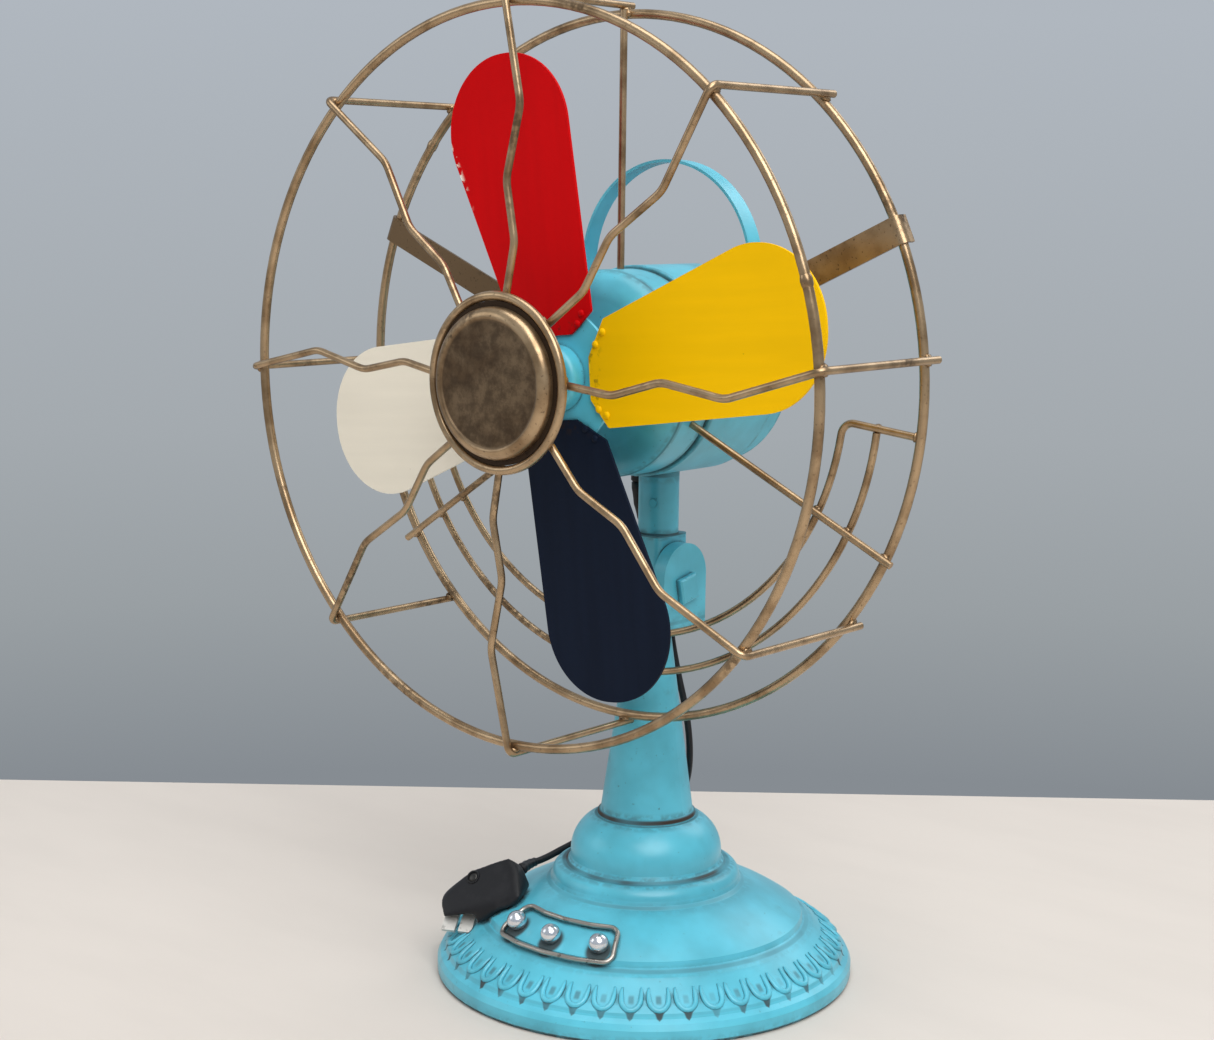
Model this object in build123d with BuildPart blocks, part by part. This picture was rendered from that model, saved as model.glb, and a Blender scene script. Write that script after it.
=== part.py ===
"""A desk fan in the style of a 1930s tin ornament, in millimetres.

+Z is up and the fan faces -Y. The origin is the centre of the underside of the base.
The stand carries a head that tilts on one bolt, and the head carries the wire cage,
the housing and a rotor of four sheet blades that is turned by hand on a fixed axle.
"""

from build123d import *
from math import asin, cos, degrees, radians, sin, sqrt, tan
import os

os.makedirs("parts", exist_ok=True)

# ---- overall sizes ----
CAGE_R = 120.0  # centreline of both large rings
AXIS_Z = 217.6  # fan axis above the table
BASE_R = 75.0
PIVOT_Y = 4.0  # the neck and yoke stand this far behind the pillar's axis
PIVOT_Z = 141.0

# ---- fits ----
RUN = 0.05  # radial clearance of a turning pin
WELD_GAP = 0.08  # between two wires that are spot welded
SEAT_GAP = 0.1  # between a sheet piece and the curved face that it is fixed to

# ---- wire cage ----
RING_WIRE = 3.2
SPOKE_WIRE = 2.5
FRONT_RING_Y = -73.0
REAR_RING_Y = -16.0
SPOKE_ANGLES = (90.8, 132.7, 181.3, 227.3, 271.1, 322.1, 5.5, 49.0)  # bent by hand
SPOKE_INNER_R = 27.0
SPOKE_WAVE = ((88.0, 7.3), (64.5, 1.5), (45.0, 5.2))  # (radius, offset clockwise)
SPOKE_INNER_OFFSET = 1.5
WAVE_BEND_R = 12.0
STRUT_PAST_RING = 3.6
ROD_R = CAGE_R + 3.8  # tip of a rear rod, just past the ring
TOP_ROD_R = CAGE_R + 1.2  # stops short of the strut beside it
ROD_ANGLES = {"top": 90.0, "left": 214.0, "right": -25.5}
STRAP_ANGLES = {"left": 157.5, "right": 25.0}
STRAP_W = 9.0
STRAP_T = 1.0
STRAP_TAB = 2.5
ARC_OUTER_R = 104.0
ARC_INNER_R = 91.0
ARC_END = -6.0  # angle of the radial links
ARC_CORNER_R = 4.5

# ---- hub of the cage ----
HUB_RING_R = 28.0
HUB_RING_WIRE = 3.0
HUB_RING_Y = -80.3
HUB_PLATE_T = 1.0
CAP_R = 24.6
CAP_DEPTH = 4.0
CAP_RIM = 0.8  # height of its upright rim
CAP_SHOULDER = ((23.6, 0.9), (21.4, 0.0))  # (radius, behind the front)
CAP_GROOVE = ((20.8, 0.2), (20.3, 0.6))
CAP_T = 0.8

# ---- housing, as radius against Y ----
HOUSING_T = 1.0
FACE_Y = -32.0
FACE_R = 25.0
CREASE_Y = -26.0
BAND_R = 35.3
SHOULDER_AT = (31.8, -30.2)  # middle of the front cover's rounded shoulder
DRUM_Y = (-11.0, 24.0)
DRUM_R = 36.5
DRUM_ROUND = 0.8
DRUM_FLANGE = 6.0  # of its end walls
GROOVE_R = 34.5
GROOVE_W = 1.2
REAR_BAND_R = 35.0
REAR_EDGE = ((35.0, 32.5), (32.8, 34.6))  # the bevel where the rear cover's dome begins
REAR_DOME_AT = (17.0, 40.1)
REAR_END_Y = 42.0
FLAT_R = 1.0  # level middle of a domed cover

# ---- rotor ----
BLADE_Y = -50.4
BLADE_T = 1.0
BLADE_TIP_R = 108.0
BLADE_ROOT_R = 14.0
BLADE_NECK_HALF = 7.0
BLADE_ROOT_S = 16.0
BLADE_SHOULDER_S = 21.0
BLADE_SHOULDER_HALF = 17.8
BLADE_MAX_HALF = 31.0
BLADE_SHOULDER_CORNER = 1.5
BLADE_TIP_CORNER = 25.5
BLADE_LEAN = 19.35 / 90
BLADE_ANGLES = {"red": 96.6, "yellow": 5.0, "navy": -83.6, "cream": 185.0}
AXLE_R = 2.5
AXLE_COLLAR_R = 4.5
AXLE_NUT_T = 4.0
AXLE_TAIL = 1.0  # behind its nut
CAP_NUT_FLATS = 8.0
CAP_NUT_T = 6.5
CAP_NUT_END = 1.0  # from the front of the nut to the end of the axle
CAP_NUT_DOME = (3.7, 1.0, 2.4)  # radius, height above the nut, chamfer
HUB_BARREL_R = 8.5
HUB_FLANGE_R = 23.0
HUB_FLANGE_T = 1.2
HUB_BOSS_R = 11.0
HUB_BOSS_ROUND = 2.5
HUB_Y = (-56.0, -40.0)
AXLE_GAP = 0.3

# ---- carrying handle ----
HANDLE_Y = 8.0
HANDLE_W = 7.0
HANDLE_T = 1.0
HANDLE_RISE = 35.0  # from the fan axis to the centre of the bow
HANDLE_LEG = 6.0  # below the fan axis
HANDLE_END_R = 3.3
RIVET_R = 1.5
RIVET_HEAD = (3.2, 1.8, 1.2)  # radius, height, chamfer
RIVET_TAIL = (2.4, 0.9)  # radius, height
RIVET_SET = 0.3  # of the tail below the drum's curved inner face

# ---- neck, yoke and tilt bolt ----
NECK_R = 7.2
NECK_T = 1.4
NECK_FOOT_Z = 159.5
SPIGOT_L = 16.0
NECK_SCREW_Z = 171.0
NECK_SCREW_ANGLE = 23.0  # from the front toward +X
NECK_SCREW_R = 1.45
NECK_SCREW_HEAD = 0.4
TONGUE_HALF_X = 7.2
TONGUE_R = 8.5
TONGUE_CORNER_R = 2.5
EAR_X = (7.6, 12.6)
EAR_R = 11.9
YOKE_Z = (124.0, 157.0)
YOKE_FLOOR = 5.0
YOKE_CORNER_R = 4.0
BOLT_R = 3.0
BOLT_HEAD = (9.0, 2.5)  # across flats, height
BOLT_TURN = 12.0
BOLT_TAIL = 1.2  # past the nut
BOLT_CHAMFER = 0.6
NUT = (10.0, 5.0)
WASHER = (6.0, 1.0)

# ---- base, as (inset from the rim, height) ----
SHELL_T = 1.2
BASE_FOOT = (1.2, 0.0)
BASE_RIM = ((0.0, 1.4), (0.0, 5.2), (1.0, 7.2), (2.8, 8.4))
BAND_FOOT = (3.4, 10.0)  # of the sloping band that carries the lace
BAND_TOP = (14.0, 18.4)
BASE_STEP = ((16.4, 19.6), (17.8, 20.4))
DISH_FOOT = (18.4, 22.4)
DISH_RISE = 0.76  # of the dish's arc above its chord
BASE_PLATE_T = 1.0
PLATE_GAP = 0.2

# ---- collar, dome and pillar, as (radius, height) ----
DISH_TOP = (36.0, 33.0)
COLLAR_FOOT = ((34.4, 34.2), (33.9, 35.6))
COLLAR_ARC = ((32.6, 38.6), (29.8, 40.0))
PLATFORM_Z = COLLAR_ARC[1][1]
DOME_TOP_Z = 57.5
DOME_R = 27.2
DOME_FOOT = ((1.8, 0.0), (0.4, 1.3), (0.0, 2.2))  # (outside the dome, above the platform)
DOME_SIDE_H = 4.5
DOME_ARC = ((25.2, 51.6), (18.6, DOME_TOP_Z))
PILLAR_FOOT_R = 16.6
PILLAR_TOP_R = 7.65
PILLAR_BEAD = ((1.2, 0.0), (0.9, 1.5), (0.0, 2.0))  # (outside the pillar, above the dome)
TIE_R = 2.5
TIE_TAIL = 1.5  # of the rod below its nut
TIE_WASHER_R = 9.0
TIE_NUT_FLATS = 8.0
TIE_NUT_T = 4.0

# ---- ornamental switch on the dish ----
SWITCH_WIRE = 1.7
SWITCH_ARC = (-112.0, -62.0)
SWITCH_INSET = (28.5, 16.4)  # its inner and outer side, from the rim
SWITCH_LIFT = 1.7  # of the wire's centre above the dish
SWITCH_DROP = 0.5  # of its outer side below the foot of the dish
SWITCH_STEPS = 4
SWITCH_CORNER_R = 3.5
SWITCH_BEND_R = 14.0
STUD_BALL_R = 3.5
STUD_RISE = 2.3  # ball centre above the dish
STUD_SHARE = 0.2  # how far up the dish the studs stand
STUD_ANGLES = (-107.0, -88.0, -68.0)
STUD_SHANK_R = 1.4

# ---- imitation plug, seen square on from the front left ----
PLUG_AT = (-41.9, -43.7)
PLUG_TURN = 21.7
PLUG_T = 13.0
PLUG_LIFT = 0.35  # clear of the dish
PLUG_OUTLINE = (  # along the plug, height
    (-15.8, 25.0),
    (-5.2, 36.0),
    (9.1, 42.7),
    (14.4, 39.9),
    (19.0, 31.5),
    (13.4, 22.0),
    (1.2, 14.0),
    (1.2, 22.8),
    (-12.0, 19.5),
)
PLUG_SLOPE = ((-12.0, 19.5), (17.0, 31.0), (0.0, 39.3))  # upper face: near edge, far edge
PLUG_RELIEF_R = 2.2
PLUG_RELIEF_L = 2.5
PLUG_RELIEF_ROOT = 1.0  # of the relief inside the plug's back face
PLUG_EXIT = (13.0, 36.3)  # along the plug, height
PIN_W = 5.0
PIN_T = 1.3
PIN_L = 9.0
PIN_PITCH = 6.4
PIN_ROOT = 1.0  # of a pin behind the middle of the plug
PIN_AT = (-6.1, 21.5)
PIN_DROP = 41.0  # degrees below level

# ---- cord ----
CORD_D = 2.5
GLAND_R = 3.2
GLAND_AT = (-12.0, 8.0)
GLAND_FOOT_Z = 176.0
GLAND_CHAMFER = 0.8
CORD_ROUTE = (  # from the plug, round the collar and up behind the pillar
    (-35.7, -24.0, 36.3),
    (-35.7, -16.0, 35.9),
    (-34.4, -5.0, 38.2),
    (-33.0, 7.0, 40.4),
    (-28.3, 18.4, 42.5),
    (-19.0, 26.6, 46.0),
    (-8.0, 27.5, 53.5),
    (1.0, 22.5, 64.0),
    (4.5, 19.5, 77.0),
    (3.5, 18.0, 92.0),
    (0.0, 16.5, 107.0),
    (-5.0, 18.0, 122.0),
    (-8.0, 21.0, 137.0),
    (-11.0, 16.5, 152.0),
    (-12.0, 8.0, 165.0),
)
CORD_SHARE = 0.45  # of the shorter run, taken by each bend


def vertical(radius, length, plane):
    """A plain cylinder that stands on a plane, for use as a cutting tool."""
    with BuildPart(plane, mode=Mode.PRIVATE) as tool:
        Cylinder(radius, length, align=(Align.CENTER, Align.CENTER, Align.MIN))
    return tool.part


def facing(y, turn=0.0):
    """A plane across the fan axis, seen from the front, turned counter-clockwise."""
    across = (cos(radians(turn)), 0, sin(radians(turn)))
    return Plane(origin=(0, y, AXIS_Z), x_dir=across, z_dir=(0, -1, 0))


FAN_AXIS = Axis((0, 0, AXIS_Z), (0, 1, 0))
FAN_SECTION = Plane(origin=(0, 0, AXIS_Z), x_dir=(0, 0, 1), z_dir=(-1, 0, 0))
TURN_SECTION = Plane.XZ


def wall_section(profile, wall, plane):
    """The cut wall of a spun sheet piece, whose outer profile runs from its open rim to
    its closed end in (radius, height): the profile's face less that face's offset."""
    rim, end = profile @ 0, profile @ 1
    below = rim.Y + (4 * wall if end.Y < rim.Y else -4 * wall)
    with BuildSketch(plane) as section:
        with BuildLine():
            add(profile)
            mirror(profile, about=Plane.YZ)
            if end.X > 0:
                Line(end, (-end.X, end.Y))
            Polyline(rim, (rim.X, below), (-rim.X, below), (-rim.X, rim.Y))
        make_face()
        offset(amount=-wall, mode=Mode.SUBTRACT)
        with Locations((-2 * BASE_R, rim.Y)):
            Rectangle(4 * BASE_R, 8 * BASE_R, mode=Mode.SUBTRACT)
        with Locations((0, (rim.Y + below) / 2)):
            Rectangle(4 * BASE_R, abs(below - rim.Y), mode=Mode.SUBTRACT)
        if end.X > 0:
            with Locations((0, end.Y)):
                Rectangle(2 * end.X, 4 * wall, mode=Mode.SUBTRACT)
    return section.sketch


def turned(profile, plane, axis, wall):
    """A spun sheet piece made from its outer profile."""
    with BuildPart(mode=Mode.PRIVATE) as piece:
        revolve(wall_section(profile, wall, plane), axis=axis)
    return piece.part


def drum_space():
    """The space that the drum and its seat gap take up, to cut a saddle with."""
    return vertical(DRUM_R + SEAT_GAP, 2 * DRUM_R, facing(DRUM_R))


# ==== base ====


def inside_rim(inset, height):
    """A point of the base's profile that is given from its rim."""
    return (BASE_R - inset, height)


lower_base = [inside_rim(*at) for at in (BASE_FOOT, *BASE_RIM, BAND_FOOT, BAND_TOP, *BASE_STEP)]
dish_foot = inside_rim(*DISH_FOOT)
with BuildLine() as base_profile:
    Polyline(*lower_base, dish_foot)
    dish_arc = SagittaArc(dish_foot, DISH_TOP, -DISH_RISE)
    Polyline(DISH_TOP, *COLLAR_FOOT)
    ThreePointArc(COLLAR_FOOT[1], *COLLAR_ARC)
    Line(COLLAR_ARC[1], (TIE_R + RUN, PLATFORM_Z))


def on_base(radius, height, angle):
    """A point above the base in cylindrical terms."""
    return (radius * cos(radians(angle)), radius * sin(radians(angle)), height)


def dish_height(radius):
    """The height of the dish's face at a radius."""
    centre = dish_arc.arc_center
    return centre.Y + sqrt(dish_arc.radius**2 - (radius - centre.X) ** 2)


def stud_plane(angle):
    """The tangent plane of the dish at the foot of one stud."""
    foot, along = dish_arc @ STUD_SHARE, dish_arc % STUD_SHARE
    return Plane(
        origin=on_base(foot.X, foot.Y, angle),
        x_dir=(-sin(radians(angle)), cos(radians(angle)), 0),
        z_dir=on_base(along.Y, -along.X, angle),
    )


with BuildPart() as base_shell:
    add(turned(base_profile.wire(), TURN_SECTION, Axis.Z, SHELL_T))
    for angle in STUD_ANGLES:
        with BuildSketch(stud_plane(angle)):
            Circle(STUD_SHANK_R + RUN)
        extrude(amount=2 * SHELL_T, both=True, mode=Mode.SUBTRACT)
base_shell.part.label = "base_shell"
export_step(base_shell.part, "parts/base_shell.step")

with BuildPart() as base_plate:
    with BuildSketch():
        Circle(BASE_R - BASE_FOOT[0] - SHELL_T - PLATE_GAP)
    extrude(amount=BASE_PLATE_T)
base_plate.part.label = "base_plate"
export_step(base_plate.part, "parts/base_plate.step")

with BuildLine() as dome_profile:
    dome_foot = [(DOME_R + out, PLATFORM_Z + rise) for out, rise in DOME_FOOT]
    dome_shoulder = (DOME_R, PLATFORM_Z + DOME_SIDE_H)
    Polyline(*dome_foot, dome_shoulder)
    ThreePointArc(dome_shoulder, *DOME_ARC)
    Line(DOME_ARC[1], (TIE_R + RUN, DOME_TOP_Z))
with BuildPart() as base_dome:
    add(turned(dome_profile.wire(), TURN_SECTION, Axis.Z, SHELL_T))
base_dome.part.label = "base_dome"
export_step(base_dome.part, "parts/base_dome.step")

with BuildLine() as pillar_profile:
    bead = [(PILLAR_FOOT_R + out, DOME_TOP_Z + rise) for out, rise in PILLAR_BEAD]
    Polyline(*bead, (PILLAR_TOP_R, YOKE_Z[0]), (TIE_R + RUN, YOKE_Z[0]))
with BuildPart() as pillar:
    add(turned(pillar_profile.wire(), TURN_SECTION, Axis.Z, SHELL_T))
pillar.part.label = "pillar"
export_step(pillar.part, "parts/pillar.step")

platform_under = PLATFORM_Z - SHELL_T
washer_under = platform_under - WASHER[1]
with BuildPart() as tie_washer:
    with BuildSketch(Plane.XY.offset(washer_under)):
        Circle(TIE_WASHER_R)
        Circle(TIE_R + RUN, mode=Mode.SUBTRACT)
    extrude(amount=WASHER[1])
tie_washer.part.label = "tie_washer"
export_step(tie_washer.part, "parts/tie_washer.step")

with BuildPart() as tie_nut:
    with BuildSketch(Plane.XY.offset(washer_under)):
        RegularPolygon(TIE_NUT_FLATS / 2, 6, major_radius=False)
        Circle(TIE_R + RUN, mode=Mode.SUBTRACT)
    extrude(amount=-TIE_NUT_T)
tie_nut.part.label = "tie_nut"
export_step(tie_nut.part, "parts/tie_nut.step")

with BuildPart() as tie_rod:
    tie_foot = washer_under - TIE_NUT_T - TIE_TAIL
    with BuildSketch(Plane.XY.offset(tie_foot)):
        Circle(TIE_R)
    extrude(amount=YOKE_Z[0] + YOKE_FLOOR - PLATE_GAP - tie_foot)
tie_rod.part.label = "tie_rod"
export_step(tie_rod.part, "parts/tie_rod.step")

# ==== yoke and tilt bolt ====

PIVOT_PLANE = Plane(origin=(0, PIVOT_Y, PIVOT_Z), x_dir=(0, 1, 0), z_dir=(1, 0, 0))

with BuildPart() as yoke:
    ear_centre = YOKE_Z[1] - EAR_R - PIVOT_Z
    foot = YOKE_Z[0] - PIVOT_Z
    with BuildSketch(PIVOT_PLANE):
        with Locations((0, ear_centre)):
            Circle(EAR_R)
        with Locations((0, (ear_centre + foot) / 2)):
            Rectangle(2 * EAR_R, ear_centre - foot)
    extrude(amount=EAR_X[1], both=True)
    lower = yoke.edges().filter_by(Axis.Y).group_by(Axis.Z)[0]
    fillet(lower, YOKE_CORNER_R)
    with BuildSketch(PIVOT_PLANE):
        with Locations((0, foot + YOKE_FLOOR)):
            Rectangle(4 * EAR_R, 4 * EAR_R, align=(Align.CENTER, Align.MIN))
    extrude(amount=EAR_X[0], both=True, mode=Mode.SUBTRACT)
    with BuildSketch(PIVOT_PLANE):
        Circle(BOLT_R + RUN)
    extrude(amount=2 * EAR_X[1], both=True, mode=Mode.SUBTRACT)
    with BuildSketch(Plane.XY.offset(YOKE_Z[0])):
        Circle(TIE_R + RUN)
    extrude(amount=YOKE_FLOOR, mode=Mode.SUBTRACT)
yoke.part.label = "yoke"
export_step(yoke.part, "parts/yoke.step")

with BuildPart() as tilt_bolt:
    with BuildSketch(PIVOT_PLANE.offset(EAR_X[1])):
        Rectangle(BOLT_HEAD[0], BOLT_HEAD[0], rotation=BOLT_TURN)
    extrude(amount=BOLT_HEAD[1])
    chamfer(tilt_bolt.edges().group_by(Axis.X)[-1], BOLT_CHAMFER)
    with BuildSketch(PIVOT_PLANE.offset(EAR_X[1])):
        Circle(BOLT_R)
    extrude(amount=-(2 * EAR_X[1] + WASHER[1] + NUT[1] + BOLT_TAIL))
    chamfer(tilt_bolt.edges().group_by(Axis.X)[0], BOLT_CHAMFER)
tilt_bolt.part.label = "tilt_bolt"
export_step(tilt_bolt.part, "parts/tilt_bolt.step")

with BuildPart() as tilt_washer:
    with BuildSketch(PIVOT_PLANE.offset(-EAR_X[1])):
        Circle(WASHER[0])
        Circle(BOLT_R + RUN, mode=Mode.SUBTRACT)
    extrude(amount=-WASHER[1])
tilt_washer.part.label = "tilt_washer"
export_step(tilt_washer.part, "parts/tilt_washer.step")

with BuildPart() as tilt_nut:
    with BuildSketch(PIVOT_PLANE.offset(-EAR_X[1] - WASHER[1])):
        RegularPolygon(NUT[0] / 2, 6, major_radius=False)
        Circle(BOLT_R + RUN, mode=Mode.SUBTRACT)
    extrude(amount=-NUT[1])
tilt_nut.part.label = "tilt_nut"
export_step(tilt_nut.part, "parts/tilt_nut.step")

# ==== switch ornament: a wire frame and three polished studs ====


with BuildPart() as switch_loop:
    start, end = SWITCH_ARC
    steps = [start + (end - start) * step / SWITCH_STEPS for step in range(SWITCH_STEPS + 1)]
    inner, outer = (BASE_R - inset for inset in SWITCH_INSET)
    inner_z, outer_z = dish_height(inner) + SWITCH_LIFT, dish_foot[1] - SWITCH_DROP
    middle = (inner + outer) / 2
    middle_z = dish_height(middle) + SWITCH_LIFT
    outline = [on_base(outer, outer_z, angle) for angle in steps]
    outline += [on_base(middle, middle_z, end)]
    outline += [on_base(inner, inner_z, angle) for angle in reversed(steps)]
    outline += [on_base(middle, middle_z, start)]
    side_bends = (SWITCH_STEPS - 1) * [SWITCH_BEND_R]
    bends = [SWITCH_CORNER_R, *side_bends, SWITCH_CORNER_R, SWITCH_BEND_R]
    with BuildLine() as loop_path:
        FilletPolyline(*outline, radius=2 * bends, close=True)
    with BuildSketch(Plane(origin=loop_path.line @ 0, z_dir=loop_path.line % 0)):
        Circle(SWITCH_WIRE / 2)
    sweep(path=loop_path.wire())
switch_loop.part.label = "switch_loop"
export_step(switch_loop.part, "parts/switch_loop.step")

for number, angle in enumerate(STUD_ANGLES, start=1):
    with BuildPart(stud_plane(angle)) as switch_stud:
        with Locations((0, 0, STUD_RISE)):
            Sphere(STUD_BALL_R)
        seat = (Align.CENTER, Align.CENTER, Align.MAX)
        with Locations((0, 0, SEAT_GAP)):
            Box(*3 * [3 * STUD_BALL_R], align=seat, mode=Mode.SUBTRACT)
            Cylinder(STUD_SHANK_R, 2 * SHELL_T, align=seat)
    switch_stud.part.label = f"switch_stud_{number}"
    export_step(switch_stud.part, f"parts/switch_stud_{number}.step")

# ==== plug and cord ====

PLUG_PLANE = Plane(
    origin=(*PLUG_AT, 0),
    x_dir=(cos(radians(PLUG_TURN)), sin(radians(PLUG_TURN)), 0),
    z_dir=(sin(radians(PLUG_TURN)), -cos(radians(PLUG_TURN)), 0),
)

with BuildPart() as dish_space:
    with BuildSketch(TURN_SECTION):
        with BuildLine():
            add(base_profile.wire())
            Polyline((TIE_R + RUN, PLATFORM_Z), (0, PLATFORM_Z), (0, 0), lower_base[0])
        make_face()
    revolve(axis=Axis.Z)
dish_clear = Pos(0, 0, PLUG_LIFT) * dish_space.part

with BuildPart() as plug_body:
    with BuildSketch(PLUG_PLANE):
        with BuildLine():
            Polyline(*PLUG_OUTLINE, close=True)
        make_face()
    extrude(amount=PLUG_T / 2, both=True)
    near = [PLUG_PLANE.from_local_coords((*at, PLUG_T / 2)) for at in PLUG_SLOPE[:2]]
    far = PLUG_PLANE.from_local_coords((*PLUG_SLOPE[2], -PLUG_T / 2))
    slope = (near[1] - near[0]).cross(far - near[0])
    split(bisect_by=Plane(origin=near[0], x_dir=near[1] - near[0], z_dir=slope), keep=Keep.BOTTOM)
    add(dish_clear, mode=Mode.SUBTRACT)
    back = PLUG_PLANE.offset(-PLUG_T / 2 - PLUG_RELIEF_L)
    with BuildSketch(back):
        with Locations(PLUG_EXIT):
            Circle(PLUG_RELIEF_R)
    extrude(amount=PLUG_RELIEF_L + PLUG_RELIEF_ROOT)
plug_body.part.label = "plug_body"
export_step(plug_body.part, "parts/plug_body.step")

pin_root = PLUG_PLANE.from_local_coords((*PIN_AT, -PIN_ROOT))
pin_out = PLUG_PLANE.z_dir * cos(radians(PIN_DROP)) - Vector(0, 0, sin(radians(PIN_DROP)))
pin_plane = Plane(origin=pin_root, x_dir=PLUG_PLANE.x_dir, z_dir=pin_out)
for number, side in enumerate((-1, 1), start=1):
    with BuildPart() as plug_pin:
        with BuildSketch(pin_plane):
            with Locations((side * PIN_PITCH / 2, 0)):
                Rectangle(PIN_W, PIN_T)
        extrude(amount=PIN_L)
        add(plug_body.part, mode=Mode.SUBTRACT)
        add(dish_clear, mode=Mode.SUBTRACT)
    plug_pin.part.label = f"plug_pin_{number}"
    export_step(plug_pin.part, f"parts/plug_pin_{number}.step")


def bend_radii(points):
    """A bend at each inner point, as large as its two runs allow."""
    radii = []
    for before, here, after in zip(points, points[1:], points[2:]):
        run_in, run_out = Vector(*here) - Vector(*before), Vector(*after) - Vector(*here)
        shorter = min(run_in.length, run_out.length)
        half_turn = radians(run_in.get_angle(run_out) / 2)
        radii.append(CORD_SHARE * shorter / tan(half_turn))
    return radii


cord_start = PLUG_PLANE.from_local_coords((*PLUG_EXIT, -PLUG_T / 2 - PLUG_RELIEF_L))
cord_end = (*GLAND_AT, GLAND_FOOT_Z)
with BuildPart() as power_cord:
    route = [tuple(cord_start), *CORD_ROUTE, cord_end]
    cord_radii = bend_radii(route)
    with BuildLine() as cord_path:
        FilletPolyline(*route, radius=cord_radii)
    with BuildSketch(Plane(origin=cord_path.line @ 0, z_dir=cord_path.line % 0)):
        Circle(CORD_D / 2)
    sweep(path=cord_path.wire())
cord_length = cord_path.wire().length
print("cord bends", [round(radius, 1) for radius in cord_radii])
print("cord length", round(cord_length, 1), "volume", round(power_cord.part.volume, 1))
power_cord.part.label = "power_cord"
export_step(power_cord.part, "parts/power_cord.step")

# ==== neck ====

with BuildPart() as tilt_tongue:
    with BuildSketch(PIVOT_PLANE):
        Circle(TONGUE_R)
        Rectangle(2 * TONGUE_R, NECK_FOOT_Z - PIVOT_Z, align=(Align.CENTER, Align.MIN))
    extrude(amount=TONGUE_HALF_X, both=True)
    fillet(tilt_tongue.edges().filter_by(Axis.Z), TONGUE_CORNER_R)
    with BuildSketch(Plane(origin=(0, PIVOT_Y, NECK_FOOT_Z))):
        Circle(NECK_R - NECK_T - RUN)
    extrude(amount=SPIGOT_L)
    with BuildSketch(PIVOT_PLANE):
        Circle(BOLT_R + RUN)
    extrude(amount=2 * TONGUE_HALF_X, both=True, mode=Mode.SUBTRACT)
tilt_tongue.part.label = "tilt_tongue"
export_step(tilt_tongue.part, "parts/tilt_tongue.step")

screw_out = (sin(radians(NECK_SCREW_ANGLE)), -cos(radians(NECK_SCREW_ANGLE)), 0)
screw_plane = Plane(origin=(0, PIVOT_Y, NECK_SCREW_Z), z_dir=screw_out)

with BuildPart() as neck_tube:
    with BuildSketch(Plane(origin=(0, PIVOT_Y, NECK_FOOT_Z))):
        Circle(NECK_R)
        Circle(NECK_R - NECK_T, mode=Mode.SUBTRACT)
    extrude(amount=AXIS_Z - NECK_FOOT_Z)
    add(drum_space(), mode=Mode.SUBTRACT)
    with BuildSketch(screw_plane):
        Circle(NECK_SCREW_R + RUN)
    extrude(amount=2 * NECK_R, mode=Mode.SUBTRACT)
neck_tube.part.label = "neck_tube"
export_step(neck_tube.part, "parts/neck_tube.step")

with BuildPart() as neck_screw:
    with BuildSketch(screw_plane.offset(NECK_R - NECK_T + RUN)):
        Circle(NECK_SCREW_R)
    extrude(amount=NECK_T + NECK_SCREW_HEAD)
neck_screw.part.label = "neck_screw"
export_step(neck_screw.part, "parts/neck_screw.step")

# ==== housing ====

rim_y = DRUM_Y[0] - GROOVE_W
with BuildLine() as front_profile:
    Line((BAND_R, rim_y), (BAND_R, CREASE_Y))
    ThreePointArc((BAND_R, CREASE_Y), SHOULDER_AT, (FACE_R, FACE_Y))
    Line((FACE_R, FACE_Y), (AXLE_R + RUN, FACE_Y))
with BuildPart() as front_cover:
    add(turned(front_profile.wire(), FAN_SECTION, FAN_AXIS, HOUSING_T))
front_cover.part.label = "front_cover"
export_step(front_cover.part, "parts/front_cover.step")

handle_plane = Plane(origin=(0, HANDLE_Y, AXIS_Z), x_dir=(0, 1, 0), z_dir=(1, 0, 0))

with BuildPart() as motor_drum:
    with BuildSketch(FAN_SECTION) as drum_section:
        flange_r, inner_r = GROOVE_R - DRUM_FLANGE, DRUM_R - HOUSING_T
        with BuildLine():
            Polyline(
                (flange_r, rim_y),
                (GROOVE_R, rim_y),
                (GROOVE_R, DRUM_Y[0]),
                (DRUM_R, DRUM_Y[0]),
                (DRUM_R, DRUM_Y[1]),
                (flange_r, DRUM_Y[1]),
                (flange_r, DRUM_Y[1] - HOUSING_T),
                (inner_r, DRUM_Y[1] - HOUSING_T),
                (inner_r, DRUM_Y[0] + HOUSING_T),
                (flange_r, DRUM_Y[0] + HOUSING_T),
                close=True,
            )
        make_face()
        fillet(drum_section.vertices().group_by(Axis.X)[-1], DRUM_ROUND)
    revolve(axis=FAN_AXIS)
    with BuildSketch(handle_plane):
        Circle(RIVET_R + RUN)
    extrude(amount=2 * DRUM_R, both=True, mode=Mode.SUBTRACT)
motor_drum.part.label = "motor_drum"
export_step(motor_drum.part, "parts/motor_drum.step")

with BuildLine() as rear_profile:
    Polyline((REAR_BAND_R, DRUM_Y[1]), *REAR_EDGE)
    ThreePointArc(REAR_EDGE[1], REAR_DOME_AT, (FLAT_R, REAR_END_Y))
    Line((FLAT_R, REAR_END_Y), (0, REAR_END_Y))
with BuildPart() as rear_cover:
    add(turned(rear_profile.wire(), FAN_SECTION, FAN_AXIS, HOUSING_T))
rear_cover.part.label = "rear_cover"
export_step(rear_cover.part, "parts/rear_cover.step")

# ==== carrying handle ====

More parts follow.
